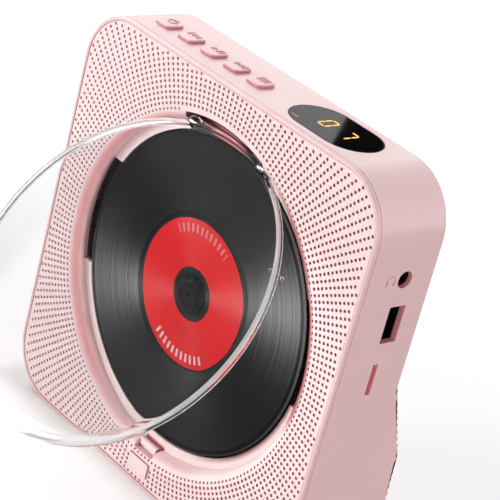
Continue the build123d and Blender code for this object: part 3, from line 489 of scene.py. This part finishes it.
# the holes: each cell of the rings that is clear of the edges is inset, rounded and sunk, and its floor and walls
# take the darker hole colour as painted shade
hole_r, spare, small_share, hole_depth, cell_inset, cell_round = 0.64, 0.15, 0.8, 0.0006, 0.00045, 0.0002
half_side, corner_at, corner_r, middle_up = 81.0, 60.6, 20.3, 1
notch_half, notch_low, notch_high = 5.4, -68.1, -63.6
pad_half, pad_low, pad_high = 5.95, -76.7, -70.3
pocket_half, peg_slot_at = 22, (58.9, 34.4)


def drilled(face):
    """A cell of the flat face that has room for its hole."""
    spot = (face.calc_center_bounds() - well_at) * 1000
    ring = (math.hypot(spot.x, spot.z) - first_ring) / pitch
    room_for = (hole_r if ring > 0.5 else small_share * hole_r) + spare
    corner = Vector((max(abs(spot.x) - corner_at, 0), max(abs(spot.z - middle_up) - corner_at, 0)))
    inside = (corner_r - corner.length if corner.x and corner.y
              else half_side - max(abs(spot.x), abs(spot.z - middle_up)))
    by_notch = abs(spot.x) < notch_half + room_for and notch_low - room_for < spot.z < 0
    by_pocket = abs(spot.x) < pocket_half + 0.8 + room_for and ring < 0.5 and spot.z > 0
    by_pad = (abs(spot.x) < pad_half + room_for
              and abs(spot.z - (pad_low + pad_high) / 2) < (pad_high - pad_low) / 2 + room_for)
    by_slot = math.hypot(spot.x - peg_slot_at[0], spot.z - peg_slot_at[1]) < 1.5
    return (face.normal.y < -0.97 and spot.y < 0.7 and abs(ring - round(ring)) < 0.1 and ring > -0.1
            and inside > hole_r + 0.35 and not (by_notch or by_pad or by_pocket or by_slot))


dress(panel, panel_pink, hole_shade_rose)
hold(panel)
bpy.ops.object.mode_set(mode="EDIT")
choose(panel, drilled)
bpy.ops.mesh.inset(thickness=cell_inset, use_individual=True)
bpy.ops.mesh.bevel(offset=cell_round, affect="VERTICES")
shape = bmesh.from_edit_mesh(panel.data)
for face in shape.faces:
    face.select_set(len(face.verts) == 8 and face.select and face.normal.y < -0.97)
for face in [f for f in shape.faces if f.select]:
    middle = face.calc_center_median()
    gap = (middle - well_at) * 1000
    size = hole_r * (small_share if math.hypot(gap.x, gap.z) < first_ring + 0.5 else 1) / 1000
    lean = math.atan2(gap.z, gap.x)
    turns = sorted(face.verts, key=lambda v: math.atan2((v.co - middle).z, (v.co - middle).x))
    base = min(range(8), key=lambda i: abs(math.remainder(
        math.atan2((turns[i].co - middle).z, (turns[i].co - middle).x) - lean - math.pi / 8, 2 * math.pi)))
    for i in range(8):
        a = lean + math.pi / 8 + (i - base) * math.pi / 4
        turns[i].co = middle + Vector((size * math.cos(a), turns[i].co.y - middle.y, size * math.sin(a)))
bmesh.update_edit_mesh(panel.data)
bpy.ops.mesh.extrude_region_move(TRANSFORM_OT_translate={"value": (0, hole_depth, 0)})
bpy.ops.mesh.select_more()
bpy.context.object.active_material_index = 1
bpy.ops.object.material_slot_assign()
bpy.ops.object.mode_set(mode="OBJECT")

# pocket housing and ledge join on, then the pocket, the notch, the pad's window and the peg's slot are cut
housing = slab_of("housing", 70.6, 1.9, 12.1, *sides(pocket_half + 1.6), ((0, 0, 60), (0, 0, -1)))
carve(housing, slab_of("housing_cut", 66.0, 0.5, 7.99))
carve(panel, housing, "UNION")
ledge = turned("ledge", around_well([(61, ledge_depth), (65.6, ledge_depth), (65.6, 7.98), (61, 7.98),
                                     (61, ledge_depth)]), well_at, (0, 1, 0), rays)
recess_low, recess_high = -17.7, 27.7
carve(ledge, box("left_gap", (-80, 5, recess_low), (0, 9, recess_high)))
carve(ledge, box("right_gap", (0, 5, -12.0), (80, 9, recess_high)))
carve(panel, ledge, "UNION")
carve(panel, slab_of("pocket_front", 68.2, -1, 8.0, *sides(pocket_half), ((0, 0, 30), (0, 0, -1))))
carve(panel, slab_of("pocket_deep", 68.2, 7, 10.5, *sides(pocket_half), ((0, 0, 61.6), (0, 0, -1))))
carve(panel, box("notch", (-notch_half, -1, notch_low), (notch_half, 6.9, notch_high)))
carve(panel, box("pad_window", (-pad_half, -1, pad_low), (pad_half, 4, pad_high)))
carve(panel, box("peg_slot", (54.0, -1, 33.1), (58.3, 6.4, 35.7)))
carve(panel, slab_of("finger_hollow", 66.4, 5.3, 8.6, ((0, 0, recess_high), (0, 0, 1)),
                     ((0, 0, recess_low), (0, 0, -1)), ((-20, 0, 0), (1, 0, 0))))

# the rounded square that the face is trimmed to
blank = box("blank", (-half_side, 0.28, middle_up - half_side), (half_side, 14, middle_up + half_side))
bpy.ops.object.mode_set(mode="EDIT")
choose(blank, lambda edge: abs(run_of(edge).y) > 0.01, "EDGE")
bpy.ops.mesh.bevel(offset=corner_r / 1000, segments=14, affect="EDGES")
choose(blank, lambda edge: all(v.co.y < front_y + 0.001 for v in edge.verts), "EDGE")
bpy.ops.mesh.bevel(offset=0.00025, segments=3, affect="EDGES")
bpy.ops.object.mode_set(mode="OBJECT")
carve(panel, blank, "INTERSECT")
bpy.ops.object.shade_smooth_by_angle(angle=math.radians(28))
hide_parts("front_panel")
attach(panel, "cabinet")

# ---- shell, back cover and desk stand ---------------------------------------------------------------
# The deep rounded shell, the cover screwed to its back and the waved stand are moulded in the same
# satin pink ABS, the stand's copy painted lighter as painted light. A headphone sign is painted flat in
# darker rose on the side in front of its socket as painted shade of a sunk mark, and the socket recesses are
# painted rose as shade.
def paint(finish, *names):
    """Put one finish on pieces that keep their shape."""
    for name in names:
        dress(frame["nodes"][name], finish)


case_pink = linear(229, 187, 188), linear(224, 180, 182)
shell_pink = moulded("shell_pink", *case_pink, coat=1.0, coat_blur=0.25)
tree = shell_pink.node_tree
across, back, up, _ = about_well(tree)
# painted shade: the headphone sign in darker rose, drawn flat as if sunk
wide = sum_of(tree, "SUBTRACT", back, 12.3)
high = sum_of(tree, "SUBTRACT", up, 48.9)
far = sum_of(tree, "SQRT", sum_of(tree, "ADD", times(tree, wide, wide), times(tree, high, high)))
band = times(tree, within(tree, far, 0.22, 1.9), sum_of(tree, "GREATER_THAN", high, -0.2))
cup = times(tree, within(tree, size_of(tree, wide), 0.62, 1.75), within(tree, high, 1.05, -0.9))
sign = times(tree, sum_of(tree, "MAXIMUM", band, cup), sum_of(tree, "GREATER_THAN", across, 82.0))
# painted shade: the socket recess walls in rose
sunk = times(tree, eased(tree, across, 82.42, 82.0), within(tree, back, 5.2, 19.5))
sunk = times(tree, sunk, times(tree, within(tree, up, 27.0, 28.0), sum_of(tree, "GREATER_THAN", across, 60.0)))
tinted(shell_pink, (sign, linear(204, 146, 150)), (sunk, linear(236, 150, 156)))
paint(shell_pink, "cabinet_shell")
plain_pink = moulded("plain_pink", *case_pink, coat=1.0, coat_blur=0.25)
paint(plain_pink, "back_cover", "stand_plate")

# the stand's back is combed with fine level ribs, 3.1 mm apart and 1 mm deep
stand = frame["nodes"]["desk_stand"]
ribbed = bpy.data.objects.new("ribbed_stand", stand.data.copy())
bpy.context.scene.collection.objects.link(ribbed)
hold(ribbed)
bpy.ops.object.mode_set(mode="EDIT")
bpy.ops.mesh.select_all(action="SELECT")
bpy.ops.mesh.remove_doubles(threshold=1e-6)
rib, rib_depth, proud, cuts = 0.0031, 0.001, 0.0003, 6
low_rib, high_rib, rear, side_x = 0.0035, 0.0915, 0.0353, 0.0788


def comb(face):
    """The outer back of the stand."""
    return face.normal.y > 0.08 and max(abs(v.co.x) for v in face.verts) > side_x


for i in range(int((high_rib - low_rib) / rib * cuts) + 1):
    choose(ribbed, comb)
    bpy.ops.mesh.bisect(plane_co=(0, 0, low_rib + i * rib / cuts), plane_no=(0, 0, 1))
bpy.ops.mesh.select_all(action="SELECT")
bpy.ops.mesh.remove_doubles(threshold=3e-5)
shape = bmesh.from_edit_mesh(ribbed.data)
shape.normal_update()
moves = {}
for face in shape.faces:
    if comb(face):
        for v in face.verts:
            moves.setdefault(v, []).append(face.normal.copy())
for v, normals in moves.items():
    if low_rib < v.co.z < high_rib:
        depth = rib_depth / 2 * (1 - math.cos(2 * math.pi * (v.co.z - low_rib) / rib)) - proud
        lean = sum(normals, Vector()).normalized()
        v.co.y -= depth * min(1.0, max(0.0, 2.5 * lean.y - 0.9))
        v.co.y = min(v.co.y, rear)
bmesh.update_edit_mesh(ribbed.data)
bpy.ops.object.mode_set(mode="OBJECT")
bpy.ops.object.shade_smooth_by_angle(angle=math.radians(20))
# painted light: the stand's pink is a lighter copy of the shell's, to brighten its side
stand_lit_pink = moulded("stand_lit_pink", linear(233, 193, 196), linear(228, 186, 189))
dress(ribbed, stand_lit_pink)
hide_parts("desk_stand")
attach(ribbed, "stand_body")

# ---- latch and release pad ----------------------------------------------------------------------------
# The pad under the well is pressed to draw the catch down. Both are small satin pink mouldings: the pad
# sits in the front's window, and the catch is one piece with the slider behind the pad.
pad_pink = moulded("pad_pink", linear(238, 217, 216), linear(235, 212, 212))
tree = pad_pink.node_tree
across, back, up, _ = about_well(tree)
# painted shade: the pad's edges in rose
edge = sum_of(tree, "MAXIMUM", eased(tree, size_of(tree, across), 5.5, 5.7),
              eased(tree, size_of(tree, sum_of(tree, "ADD", up, 73.5)), 2.75, 2.95))
tinted(pad_pink, (edge, linear(214, 136, 140)))
paint(pad_pink, "release_pad")
catch_pink = moulded("catch_pink", linear(240, 222, 220), linear(236, 216, 215))
tree = catch_pink.node_tree
across, back, up, _ = about_well(tree)
# painted shade: the catch's upper sides behind its face in rose, and its right side in deeper rose
tinted(catch_pink, (times(tree, eased(tree, back, 3.8, 5.0), eased(tree, up, -66.4, -65.6)), linear(190, 96, 100)),
       (eased(tree, across, 4.25, 4.6), linear(166, 76, 84)))
catch = box("catch", (-5.3, 2.9, -67.4), (4.7, 6.0, -64.6))
bpy.ops.object.mode_set(mode="EDIT")
choose(catch, lambda face: face.normal.y < -0.9)
bpy.ops.mesh.bevel(offset=0.0005, segments=4, affect="EDGES")
bpy.ops.object.mode_set(mode="OBJECT")
carve(catch, box("step", (-4.9, 3.5, -69.4), (4.5, 5.99, -66.5)), "UNION")
carve(catch, box("slider", (-4.8, 5.25, -77.5), (4.4, 5.98, -66.8)), "UNION")
dress(catch, catch_pink)
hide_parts("latch_hook")
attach(catch, "latch_body")

# ---- tray under the disc and the deck inside ---------------------------------------------------------
# A black tray closes the well. Behind it a pressed chassis on rubber bushes carries the spindle motor,
# the sled with its lens, the guide rods and the feed screw.
tray_black = moulded("tray_black", linear(30, 28, 29), linear(22, 21, 22), sheen=(0.45, 0.6))
rubber_black = moulded("rubber_black", linear(26, 26, 27), linear(34, 34, 34), grain=900.0, sheen=(0.7, 0.85),
                       bump=0.2)


def brushed(name, colour, low, high, lines=(30.0, 900.0, 900.0)):
    """Metal with fine drawn lines."""
    finish, tree, surface, _ = shader(name)
    stretch = node(tree, "ShaderNodeMapping", {"Vector": here(tree), "Scale": lines})
    grain = node(tree, "ShaderNodeTexNoise", {"Vector": stretch.outputs[0], "Scale": 4.0, "Detail": 3.0})
    tint = blended(tree, grain.outputs["Fac"], [c * 0.86 for c in colour], colour)
    tree.links.new(tint, surface.inputs["Base Color"])
    tree.links.new(ranged(tree, grain.outputs["Fac"], 0.0, 1.0, low, high), surface.inputs["Roughness"])
    surface.inputs["Metallic"].default_value = 1.0
    return finish


steel = brushed("bright_steel", (0.62, 0.62, 0.63), 0.16, 0.32)
sheet_metal = brushed("sheet_metal", (0.52, 0.53, 0.54), 0.3, 0.45, lines=(200.0, 40.0, 200.0))
board_green = moulded("board_green", (0.010, 0.085, 0.030), (0.006, 0.055, 0.02), grain=600.0, sheen=(0.25, 0.4),
                      coat=0.3)
ferrite = moulded("ferrite", (0.018, 0.018, 0.02), (0.03, 0.03, 0.032), grain=1200.0, sheen=(0.5, 0.65))
cone_paper = moulded("cone_paper", (0.012, 0.012, 0.013), (0.02, 0.02, 0.02), grain=500.0, sheen=(0.75, 0.9),
                     bump=0.3)
cell_wrap = moulded("cell_wrap", linear(52, 102, 176), linear(44, 90, 160), sheen=(0.2, 0.3), coat=0.4)
lens_blue = moulded("lens_coating", linear(70, 52, 120), linear(40, 60, 130), sheen=(0.03, 0.06), coat=1.0)
port_black = moulded("port_black", (0.0012, 0.0011, 0.0011), (0.0016, 0.0015, 0.0015), sheen=(0.85, 0.95))
port_black.node_tree.nodes["Principled BSDF"].inputs["Specular IOR Level"].default_value = 0.1
socket_black = moulded("socket_black", linear(16, 16, 17), linear(24, 23, 24), sheen=(0.5, 0.6))
# the card socket is painted rose as the shade in its slot
slot_shade_rose = moulded("slot_shade_rose", linear(240, 142, 150), linear(232, 130, 138), sheen=(0.7, 0.8))
paint(tray_black, "deck_tray", "turntable", "pickup_sled", "battery_holder")
paint(rubber_black, "chassis_bushes", "stand_pads")
paint(sheet_metal, "deck_chassis", "speaker_frame_left", "speaker_frame_right")
paint(steel, "chassis_screws", "cover_screws", "spindle_motor", "spindle_shaft", "guide_rods", "lead_screw",
      "feed_motor", "lid_hinge_pins")
paint(board_green, "button_board", "display_board", "main_board")
paint(ferrite, "speaker_magnet_left", "speaker_magnet_right")
paint(cone_paper, "speaker_cone_left", "speaker_cone_right")
paint(cell_wrap, "battery_cell")
paint(lens_blue, "pickup_lens")
paint(port_black, "headphone_jack", "usb_socket")
paint(socket_black, "power_socket", "tact_switches", "display_module")
paint(slot_shade_rose, "card_socket")

# ---- disc ------------------------------------------------------------------------------------------------
# A black disc with fine grooves, a plain red label and a smooth band round it. It lies on the turntable
# and is held by the hub.
disc_r, bore_r, disc_face, disc_back = 60.0, 7.5, 5.4, 6.6
disc = turned("grooved_disc", around_well([
    (bore_r, 5.52), (7.62, disc_face), (18.0, disc_face), (28.8, disc_face), (28.95, 5.46), (29.4, 5.46),
    (29.55, disc_face), (45.0, disc_face), (58.2, disc_face), (58.4, 5.44), (59.7, 5.44), (disc_r, 5.7),
    (disc_r, 6.3), (59.7, disc_back), (34.0, disc_back), (bore_r, disc_back), (bore_r, 5.52)]),
    well_at, (0, 1, 0), 180)
bpy.ops.object.shade_smooth_by_angle(angle=math.radians(30))
disc_black, tree, surface, _ = shader("disc_black")
across, _, up, radius = about_well(tree)
bands = node(tree, "ShaderNodeValToRGB", {0: ranged(tree, radius, 0.0, disc_r)})
bands.color_ramp.interpolation = "CONSTANT"
label_red, black = linear(206, 16, 22), (0.001, 0.001, 0.0011)
stops = [(0.0, (0.004, 0.004, 0.004)), (10.2, label_red), (28.2, (0.003, 0.003, 0.003)), (29.6, black),
         (31.0, (0.03, 0.03, 0.031)), (31.25, black)]
ramp = bands.color_ramp.elements
for i, (where, colour) in enumerate(stops):
    stop = ramp[i] if i < 2 else ramp.new(where / disc_r)
    stop.position, stop.color = where / disc_r, (*colour, 1)
slow = node(tree, "ShaderNodeTexNoise", {"W": radius, "Scale": 0.9, "Detail": 2.0, "Roughness": 0.6},
            noise_dimensions="1D")
cut = times(tree, sum_of(tree, "GREATER_THAN", radius, 31.3), sum_of(tree, "LESS_THAN", radius, 58.0))
waves = times(tree, slow.outputs["Fac"], cut)
rough = ranged(tree, waves, 0.0, 1.0, 0.36, 0.66)
relief = node(tree, "ShaderNodeBump", {"Height": waves, "Strength": 0.05, "Distance": 0.0001})
angle = sum_of(tree, "ARCTAN2", up, across)


def between(tree, value, low, high):
    """1 where the value lies between the two."""
    return times(tree, sum_of(tree, "GREATER_THAN", value, low), sum_of(tree, "LESS_THAN", value, high))


ticks = 60
beat = sum_of(tree, "PINGPONG", times(tree, angle, ticks / (2 * math.pi)), 0.5)
tick = times(tree, sum_of(tree, "LESS_THAN", beat, 0.2), between(tree, radius, 23.2, 26.4))
low_tick = times(tree, tick, between(tree, angle, -2.16, -0.98))
high_tick = times(tree, times(tree, tick, between(tree, angle, 1.05, 2.2)), 0.35)
rule = sum_of(tree, "LESS_THAN", sum_of(tree, "PINGPONG", sum_of(tree, "SUBTRACT", radius, 13.6), 0.7), 0.14)
rule = times(tree, times(tree, rule, between(tree, radius, 13.4, 18.0)), between(tree, angle, -1.95, -1.19))
ruled = blended(tree, times(tree, rule, 0.6), bands.outputs[0], (0.16, 0.002, 0.003))
marked = blended(tree, sum_of(tree, "MAXIMUM", low_tick, high_tick), ruled, (0.62, 0.5, 0.5))
tree.links.new(blended(tree, waves, marked, (0.0035, 0.0035, 0.0037)), surface.inputs["Base Color"])
blunt = times(tree, sum_of(tree, "GREATER_THAN", radius, 59.5), 0.9)
tree.links.new(sum_of(tree, "MAXIMUM", rough, blunt), surface.inputs["Roughness"])
tree.links.new(relief.outputs["Normal"], surface.inputs["Normal"])
radial = node(tree, "ShaderNodeTangent", direction_type="RADIAL", axis="Y")
tree.links.new(radial.outputs[0], surface.inputs["Tangent"])
surface.inputs["Anisotropic"].default_value = 0.79
surface.inputs["Anisotropic Rotation"].default_value = 0.25
surface.inputs["Specular IOR Level"].default_value = 0.08
dress(disc, disc_black)
on_disc.objects.link(disc)
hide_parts("compact_disc")
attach(disc, "disc_body")

# ---- hub -------------------------------------------------------------------------------------------------
# The moulded cap that the disc clips over: a shallow dark knob with a ring of dimples and three sprung
# claws at its edge.
hub = turned("hub_cap", around_well([
    (0, 3.35), (4.8, 3.25), (5.9, 3.4), (6.7, 3.9), (7.0, 4.6), (7.2, 5.4), (7.2, 6.6), (0, 6.6)]),
    well_at, (0, 1, 0), 72)
for i in range(7):
    a = math.radians(60 * i + 15)
    out, dot_r = (0.0, 0.85) if i == 6 else (3.9, 0.55)
    alone()
    spot = around_well([(0, 3.2)])[0] + Vector((out * math.cos(a), 0, out * math.sin(a))) / 1000
    bpy.ops.mesh.primitive_cylinder_add(vertices=16, radius=dot_r / 1000, depth=0.002, location=spot,
                                        rotation=(math.pi / 2, 0, 0))
    carve(hub, placed("dimple"))
for i in range(3):
    to_claw = swung(well_at, -(120 * i + 90), "Y")
    for side in (-1, 1):
        slit = box("slit", (5.0, 2.5, side * 1.5 - 0.2), (7.6, 5.6, side * 1.5 + 0.2))
        slit.data.transform(to_claw)
        carve(hub, slit)
    claw = box("claw", (6.2, 4.0, -1.1), (7.45, 5.3, 1.1))
    bpy.ops.object.mode_set(mode="EDIT")
    bpy.ops.mesh.select_all(action="SELECT")
    bpy.ops.mesh.bevel(offset=0.0003, segments=2, affect="EDGES")
    bpy.ops.object.mode_set(mode="OBJECT")
    claw.data.transform(to_claw)
    carve(hub, claw, "UNION")
hold(hub)
bpy.ops.object.shade_smooth_by_angle(angle=math.radians(35))
hub_grey = moulded("hub_grey", linear(15, 15, 16), linear(20, 20, 21), sheen=(0.35, 0.45))
hub_grey.node_tree.nodes["Principled BSDF"].inputs["Specular IOR Level"].default_value = 0.06
dress(hub, hub_grey)
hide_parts("disc_hub")
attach(hub, "disc_body")

# ---- lid -------------------------------------------------------------------------------------------------
# A shallow clear acrylic dish with a short skirt, moulded in one with its two hinge ears. It hangs open
# from the top of the well, and a peg through the skirt works the door switch.
hinge_at = Vector((0, front_y + 0.0042, 0.1425))
dish_r, dish_top, dish_rise, sheet_t, round_r = 63.1, 0.2, 2.2, 1.6, 1.2
rim_r = dish_r + round_r


def dished(r):
    """How far behind the front the lid's outer face lies at a radius."""
    return dish_top + dish_rise * (r / dish_r) ** 2


crown = [(r, dished(r)) for r in (0, 9, 18, 27, 36, 44, 51, 57, 61, dish_r)]
corner = [(dish_r + round_r * math.sin(a), 3.6 - round_r * math.cos(a))
          for a in (math.radians(22.5 * i) for i in (1, 2, 3, 4))]
inner = [(r, dished(r) + sheet_t) for r in (0, 9, 18, 27, 36, 44, 51, 57, 60.5)][::-1]
lid = turned("clear_lid", around_well(
    crown + corner + [(rim_r, 5.5), (64.1, 5.76), (63.8, 5.8), (dish_r, 5.8), (62.85, 5.72), (62.8, 5.5),
                      (62.8, 4.9), (62.55, 4.35), (61.9, 4.0)] + inner), well_at, (0, 1, 0), 160)
for side in (-1, 1):
    ear = turned("ear", [hinge_at + Vector((side * x, 0, r)) / 1000 for x, r in (
        (17.5, 0), (17.5, 1.9), (17.62, 2.18), (17.9, 2.3), (21.2, 2.3), (21.48, 2.18), (21.6, 1.9), (21.6, 0))],
        hinge_at, (1, 0, 0), 32)
    carve(lid, ear, "UNION")
peg_angle, peg_out = math.radians(32.4), 63.6
peg_mid = well_at + Vector((peg_out * math.cos(peg_angle), 5.0, peg_out * math.sin(peg_angle))) / 1000
half_peg = [(2.35, 0.4), (2.6, 0.62), (2.9, 0.7), (3.2, 0.62), (3.5, 0.35), (3.6, 0)]
peg = turned("switch_peg", [peg_mid + Vector((x, 0, r)) / 1000 for x, r in
                            [(-x, r) for x, r in half_peg[::-1]] + half_peg], peg_mid, (1, 0, 0), 20)
carve(lid, peg, "UNION")
for face in lid.data.polygons:
    gap = (face.center - well_at) * 1000
    reach = math.hypot(gap.x, gap.z)
    if reach > 63.0 and gap.z < 56.5:
        face.material_index = 1
        if gap.x > 0:
            face.material_index = 2 if 63.1 < reach < 64.25 and gap.y < 3.6 else 0
lid_open = 38
lid.data.transform(swung(hinge_at, -lid_open, "X"))
hold(lid)
bpy.ops.object.shade_smooth_by_angle(angle=math.radians(30))


def acrylic(name, colour, shade, sheen, through):
    """Clear plastic that lets light past to what stands behind it."""
    finish, tree, surface, output = shader(name)
    skin = node(tree, "ShaderNodeGroup", node_tree=grain_group)
    skin.inputs["Colour"].default_value = (*colour, 1)
    skin.inputs["Shade"].default_value = (*shade, 1)
    skin.inputs["Grain size"].default_value = 60.0
    skin.inputs["Sheen low"].default_value, skin.inputs["Sheen high"].default_value = sheen
    tree.links.new(skin.outputs["Colour"], surface.inputs["Base Color"])
    tree.links.new(skin.outputs["Roughness"], surface.inputs["Roughness"])
    surface.inputs["Transmission Weight"].default_value = through
    surface.inputs["IOR"].default_value = 1.49
    pass_on = node(tree, "ShaderNodeBsdfTransparent", {"Color": (0.93, 0.94, 0.94, 1)})
    sight = node(tree, "ShaderNodeLightPath")
    dim = node(tree, "ShaderNodeMixShader", {0: sight.outputs["Is Shadow Ray"], 1: surface.outputs[0],
                                             2: pass_on.outputs[0]})
    tree.links.new(dim.outputs[0], output.inputs["Surface"])
    return finish


clear = acrylic("clear_acrylic", (0.95, 0.957, 0.96), (0.92, 0.926, 0.93), (0.01, 0.03), 1.0)
tree = clear.node_tree
across, _, up, _ = about_well(tree)
# painted shade: the dish greys towards its foot, most at its lower left
tinted(clear, (eased(tree, up, 35.0, -35.0), (0.90, 0.91, 0.91)),
       (times(tree, eased(tree, across, -32.0, -48.0), eased(tree, up, 30.0, -20.0)), (0.74, 0.76, 0.76)))
rim_clear = acrylic("rim_acrylic", (0.95, 0.955, 0.96), (0.93, 0.935, 0.94), (0.20, 0.28), 0.70)
tree = rim_clear.node_tree
across, _, up, _ = about_well(tree)
# painted shade: the rim greys towards its lower left
tinted(rim_clear, (times(tree, eased(tree, across, 0.0, -30.0), eased(tree, up, 10.0, -20.0)),
                   (0.78, 0.80, 0.80)))
lip_clear = acrylic("lip_acrylic", (0.96, 0.965, 0.97), (0.94, 0.945, 0.95), (0.06, 0.12), 0.45)
slots = [face.material_index for face in lid.data.polygons]
dress(lid, clear, rim_clear, lip_clear)
for face, slot_index in zip(lid.data.polygons, slots):
    face.material_index = slot_index
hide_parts("lid")
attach(lid, "lid_body")

# ---- buttons ----------------------------------------------------------------------------------------------
# Five square keys in satin pink, flat on top with a plain raised sign. Each stands through the top of the
# shell over its own switch.
key_pink = moulded("key_pink", linear(230, 190, 191), linear(225, 183, 185), coat=0.8, coat_blur=0.3)
tree = key_pink.node_tree
# the keys' sides turn darker rose towards their foot
tinted(key_pink, (eased(tree, about_well(tree)[2], 84.73, 84.2), linear(208, 122, 130)))
key_rose = moulded("key_rose", linear(214, 136, 142), linear(207, 128, 134))
sign_high, key_wide, key_tall, corner_round, top_round, sign_share = 0.00036, 0.008, 0.004, 0.0013, 0.0004, 1.15


def bar(x, y, wide, long):
    """A flat raised bar, in millimetres from the key's middle."""
    bpy.ops.mesh.primitive_cube_add(size=1, location=(x / 1000, y / 1000, 0),
                                    scale=(wide / 1000, long / 1000, sign_high))
    return placed("sign")


def arrow(x, y, way):
    """A flat raised arrowhead."""
    bpy.ops.mesh.primitive_cylinder_add(vertices=3, radius=0.0015, depth=sign_high,
                                        location=(x / 1000, y / 1000, 0), rotation=(0, 0, -way * math.pi / 2))
    return placed("sign")


def ring_mark(x, y, size):
    """A raised ring."""
    bpy.ops.mesh.primitive_torus_add(location=(x / 1000, y / 1000, 0), major_radius=size / 1000,
                                     minor_radius=0.00022, major_segments=24, minor_segments=6)
    return placed("sign")


signs = {"power": lambda: [ring_mark(0, 0.9, 1.7), bar(0, 2.4, 0.5, 1.7)],
         "previous": lambda: [bar(-2.3, 1.0, 0.5, 2.8), arrow(-0.9, 1.0, -1), arrow(1.3, 1.0, -1)],
         "play": lambda: [arrow(-1.5, 1.0, 1), bar(0.9, 1.0, 0.55, 2.8), bar(2.2, 1.0, 0.55, 2.8)],
         "next": lambda: [arrow(-1.3, 1.0, 1), arrow(0.9, 1.0, 1), bar(2.3, 1.0, 0.5, 2.8)],
         "mode": lambda: [bar(0, 2.3, 4.2, 0.5), bar(0, 1.0, 4.2, 0.5), bar(0, -0.3, 4.2, 0.5)]}
for name, draw in signs.items():
    low, high = (v * 1000 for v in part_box("button_" + name))
    mid = (low + high) / 2
    alone()
    bpy.ops.mesh.primitive_cube_add(size=1, location=Vector((mid.x, mid.y, high.z - 2.25)) / 1000,
                                    scale=(key_wide, key_wide, key_tall))
    key = placed("key_" + name)
    bpy.ops.object.mode_set(mode="EDIT")
    choose(key, lambda edge: abs(run_of(edge).z) > 0.003, "EDGE")
    bpy.ops.mesh.bevel(offset=corner_round, segments=6, affect="EDGES")
    choose(key, lambda face: face.normal.z > 0.999)
    bpy.ops.mesh.bevel(offset=top_round, segments=4, affect="EDGES")
    choose(key, lambda face: face.normal.z > 0.999 and face.calc_area() > 2e-5)
    bpy.ops.mesh.inset(thickness=0.0003)
    bpy.ops.object.mode_set(mode="OBJECT")
    plain = len(key.data.polygons)
    alone()
    marks = draw()
    for mark in marks:
        mark.data.transform(Matrix.Translation(Vector((mid.x, mid.y + 0.3, high.z - 0.2)) / 1000)
                            @ Matrix.Diagonal((sign_share, sign_share, 1, 1)))
    hold(key, *marks)
    bpy.ops.object.join()
    bpy.ops.object.shade_smooth_by_angle(angle=math.radians(32))
    dress(key, key_pink, key_rose)
    for face in key.data.polygons:
        face.material_index = 0 if face.index < plain else 1
    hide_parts("button_" + name)
    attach(key, name + "_button_body")

# ---- display ----------------------------------------------------------------------------------------------
# A smoked acrylic window, flush in the top of the shell. Two lit amber digits and a faint sign shine
# through it, as flat strokes just over its face.
smoked = moulded("smoked_acrylic", (0.004, 0.004, 0.0045), (0.006, 0.006, 0.0065), grain=50.0, sheen=(0.03, 0.05),
                 bump=0.0)
smoked.node_tree.nodes["Principled BSDF"].inputs["Specular IOR Level"].default_value = 0.07
paint(smoked, "display_window")
low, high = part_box("display_window")
window_mid = (low + high) / 2
places = {"a": (0, 3.8, 90, 3.0), "b": (1.8, 1.9, 0, 3.4), "c": (1.8, -1.9, 0, 3.4), "d": (0, -3.8, 90, 3.0),
          "e": (-1.8, -1.9, 0, 3.4), "f": (-1.8, 1.9, 0, 3.4)}
alone()
stroke_wide, stroke_high, stroke_round = 0.0008, 0.00004, 0.0002
bpy.ops.mesh.primitive_cube_add(size=1, scale=(stroke_wide, 0.001, stroke_high), location=(0, 0, high.z + 0.00001))
stroke = placed("lit_stroke")
bpy.ops.object.mode_set(mode="EDIT")
choose(stroke, lambda edge: abs(run_of(edge).z) > 0.00003, "EDGE")
bpy.ops.mesh.bevel(offset=stroke_round, segments=1, affect="EDGES")
bpy.ops.object.mode_set(mode="OBJECT")
strokes = []


def lit(x, y, shaped):
    """A copy of the stroke at its place in the window, in millimetres, turned or stretched."""
    one = bpy.data.objects.new("lit_digits", stroke.data.copy())
    bpy.context.scene.collection.objects.link(one)
    one.data.transform(Matrix.Translation((window_mid.x + x / 1000, window_mid.y + y / 1000, 0)) @ shaped)
    strokes.append(one)


for segments, x in (("abcdef", -4.0), ("abc", 6.0)):
    for key in segments:
        u, v, degrees, length = places[key]
        lit(x + u, v, Matrix.Rotation(math.radians(degrees), 4, "Z") @ Matrix.Diagonal((1, length, 1, 1)))
for x in (-13.6, -12.7, -11.8, -10.9):
    lit(x, -8.6, Matrix.Diagonal((0.6, 1.3, 1, 1)))
bpy.data.objects.remove(stroke)
hold(*strokes)
digits = strokes[0]
bpy.ops.object.join()


def light(name, low, high, strength):
    """Speckled amber between two colours, which glows as far as it has strength."""
    finish, tree, surface, _ = shader(name)
    speckle = node(tree, "ShaderNodeTexNoise", {"Vector": here(tree), "Scale": 900.0})
    warm = blended(tree, speckle.outputs["Fac"], low, high)
    tree.links.new(warm, surface.inputs["Base Color"])
    if strength:
        tree.links.new(warm, surface.inputs["Emission Color"])
        surface.inputs["Emission Strength"].default_value = strength
    return finish


amber = light("amber_light", linear(250, 170, 30), linear(255, 196, 60), 0.8)
faint = light("faint_light", linear(176, 150, 96), linear(190, 164, 110), 0.0)
dress(digits, amber, faint)
for face in digits.data.polygons:
    face.material_index = 1 if face.center.x < window_mid.x - 0.009 else 0
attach(digits, "cabinet")
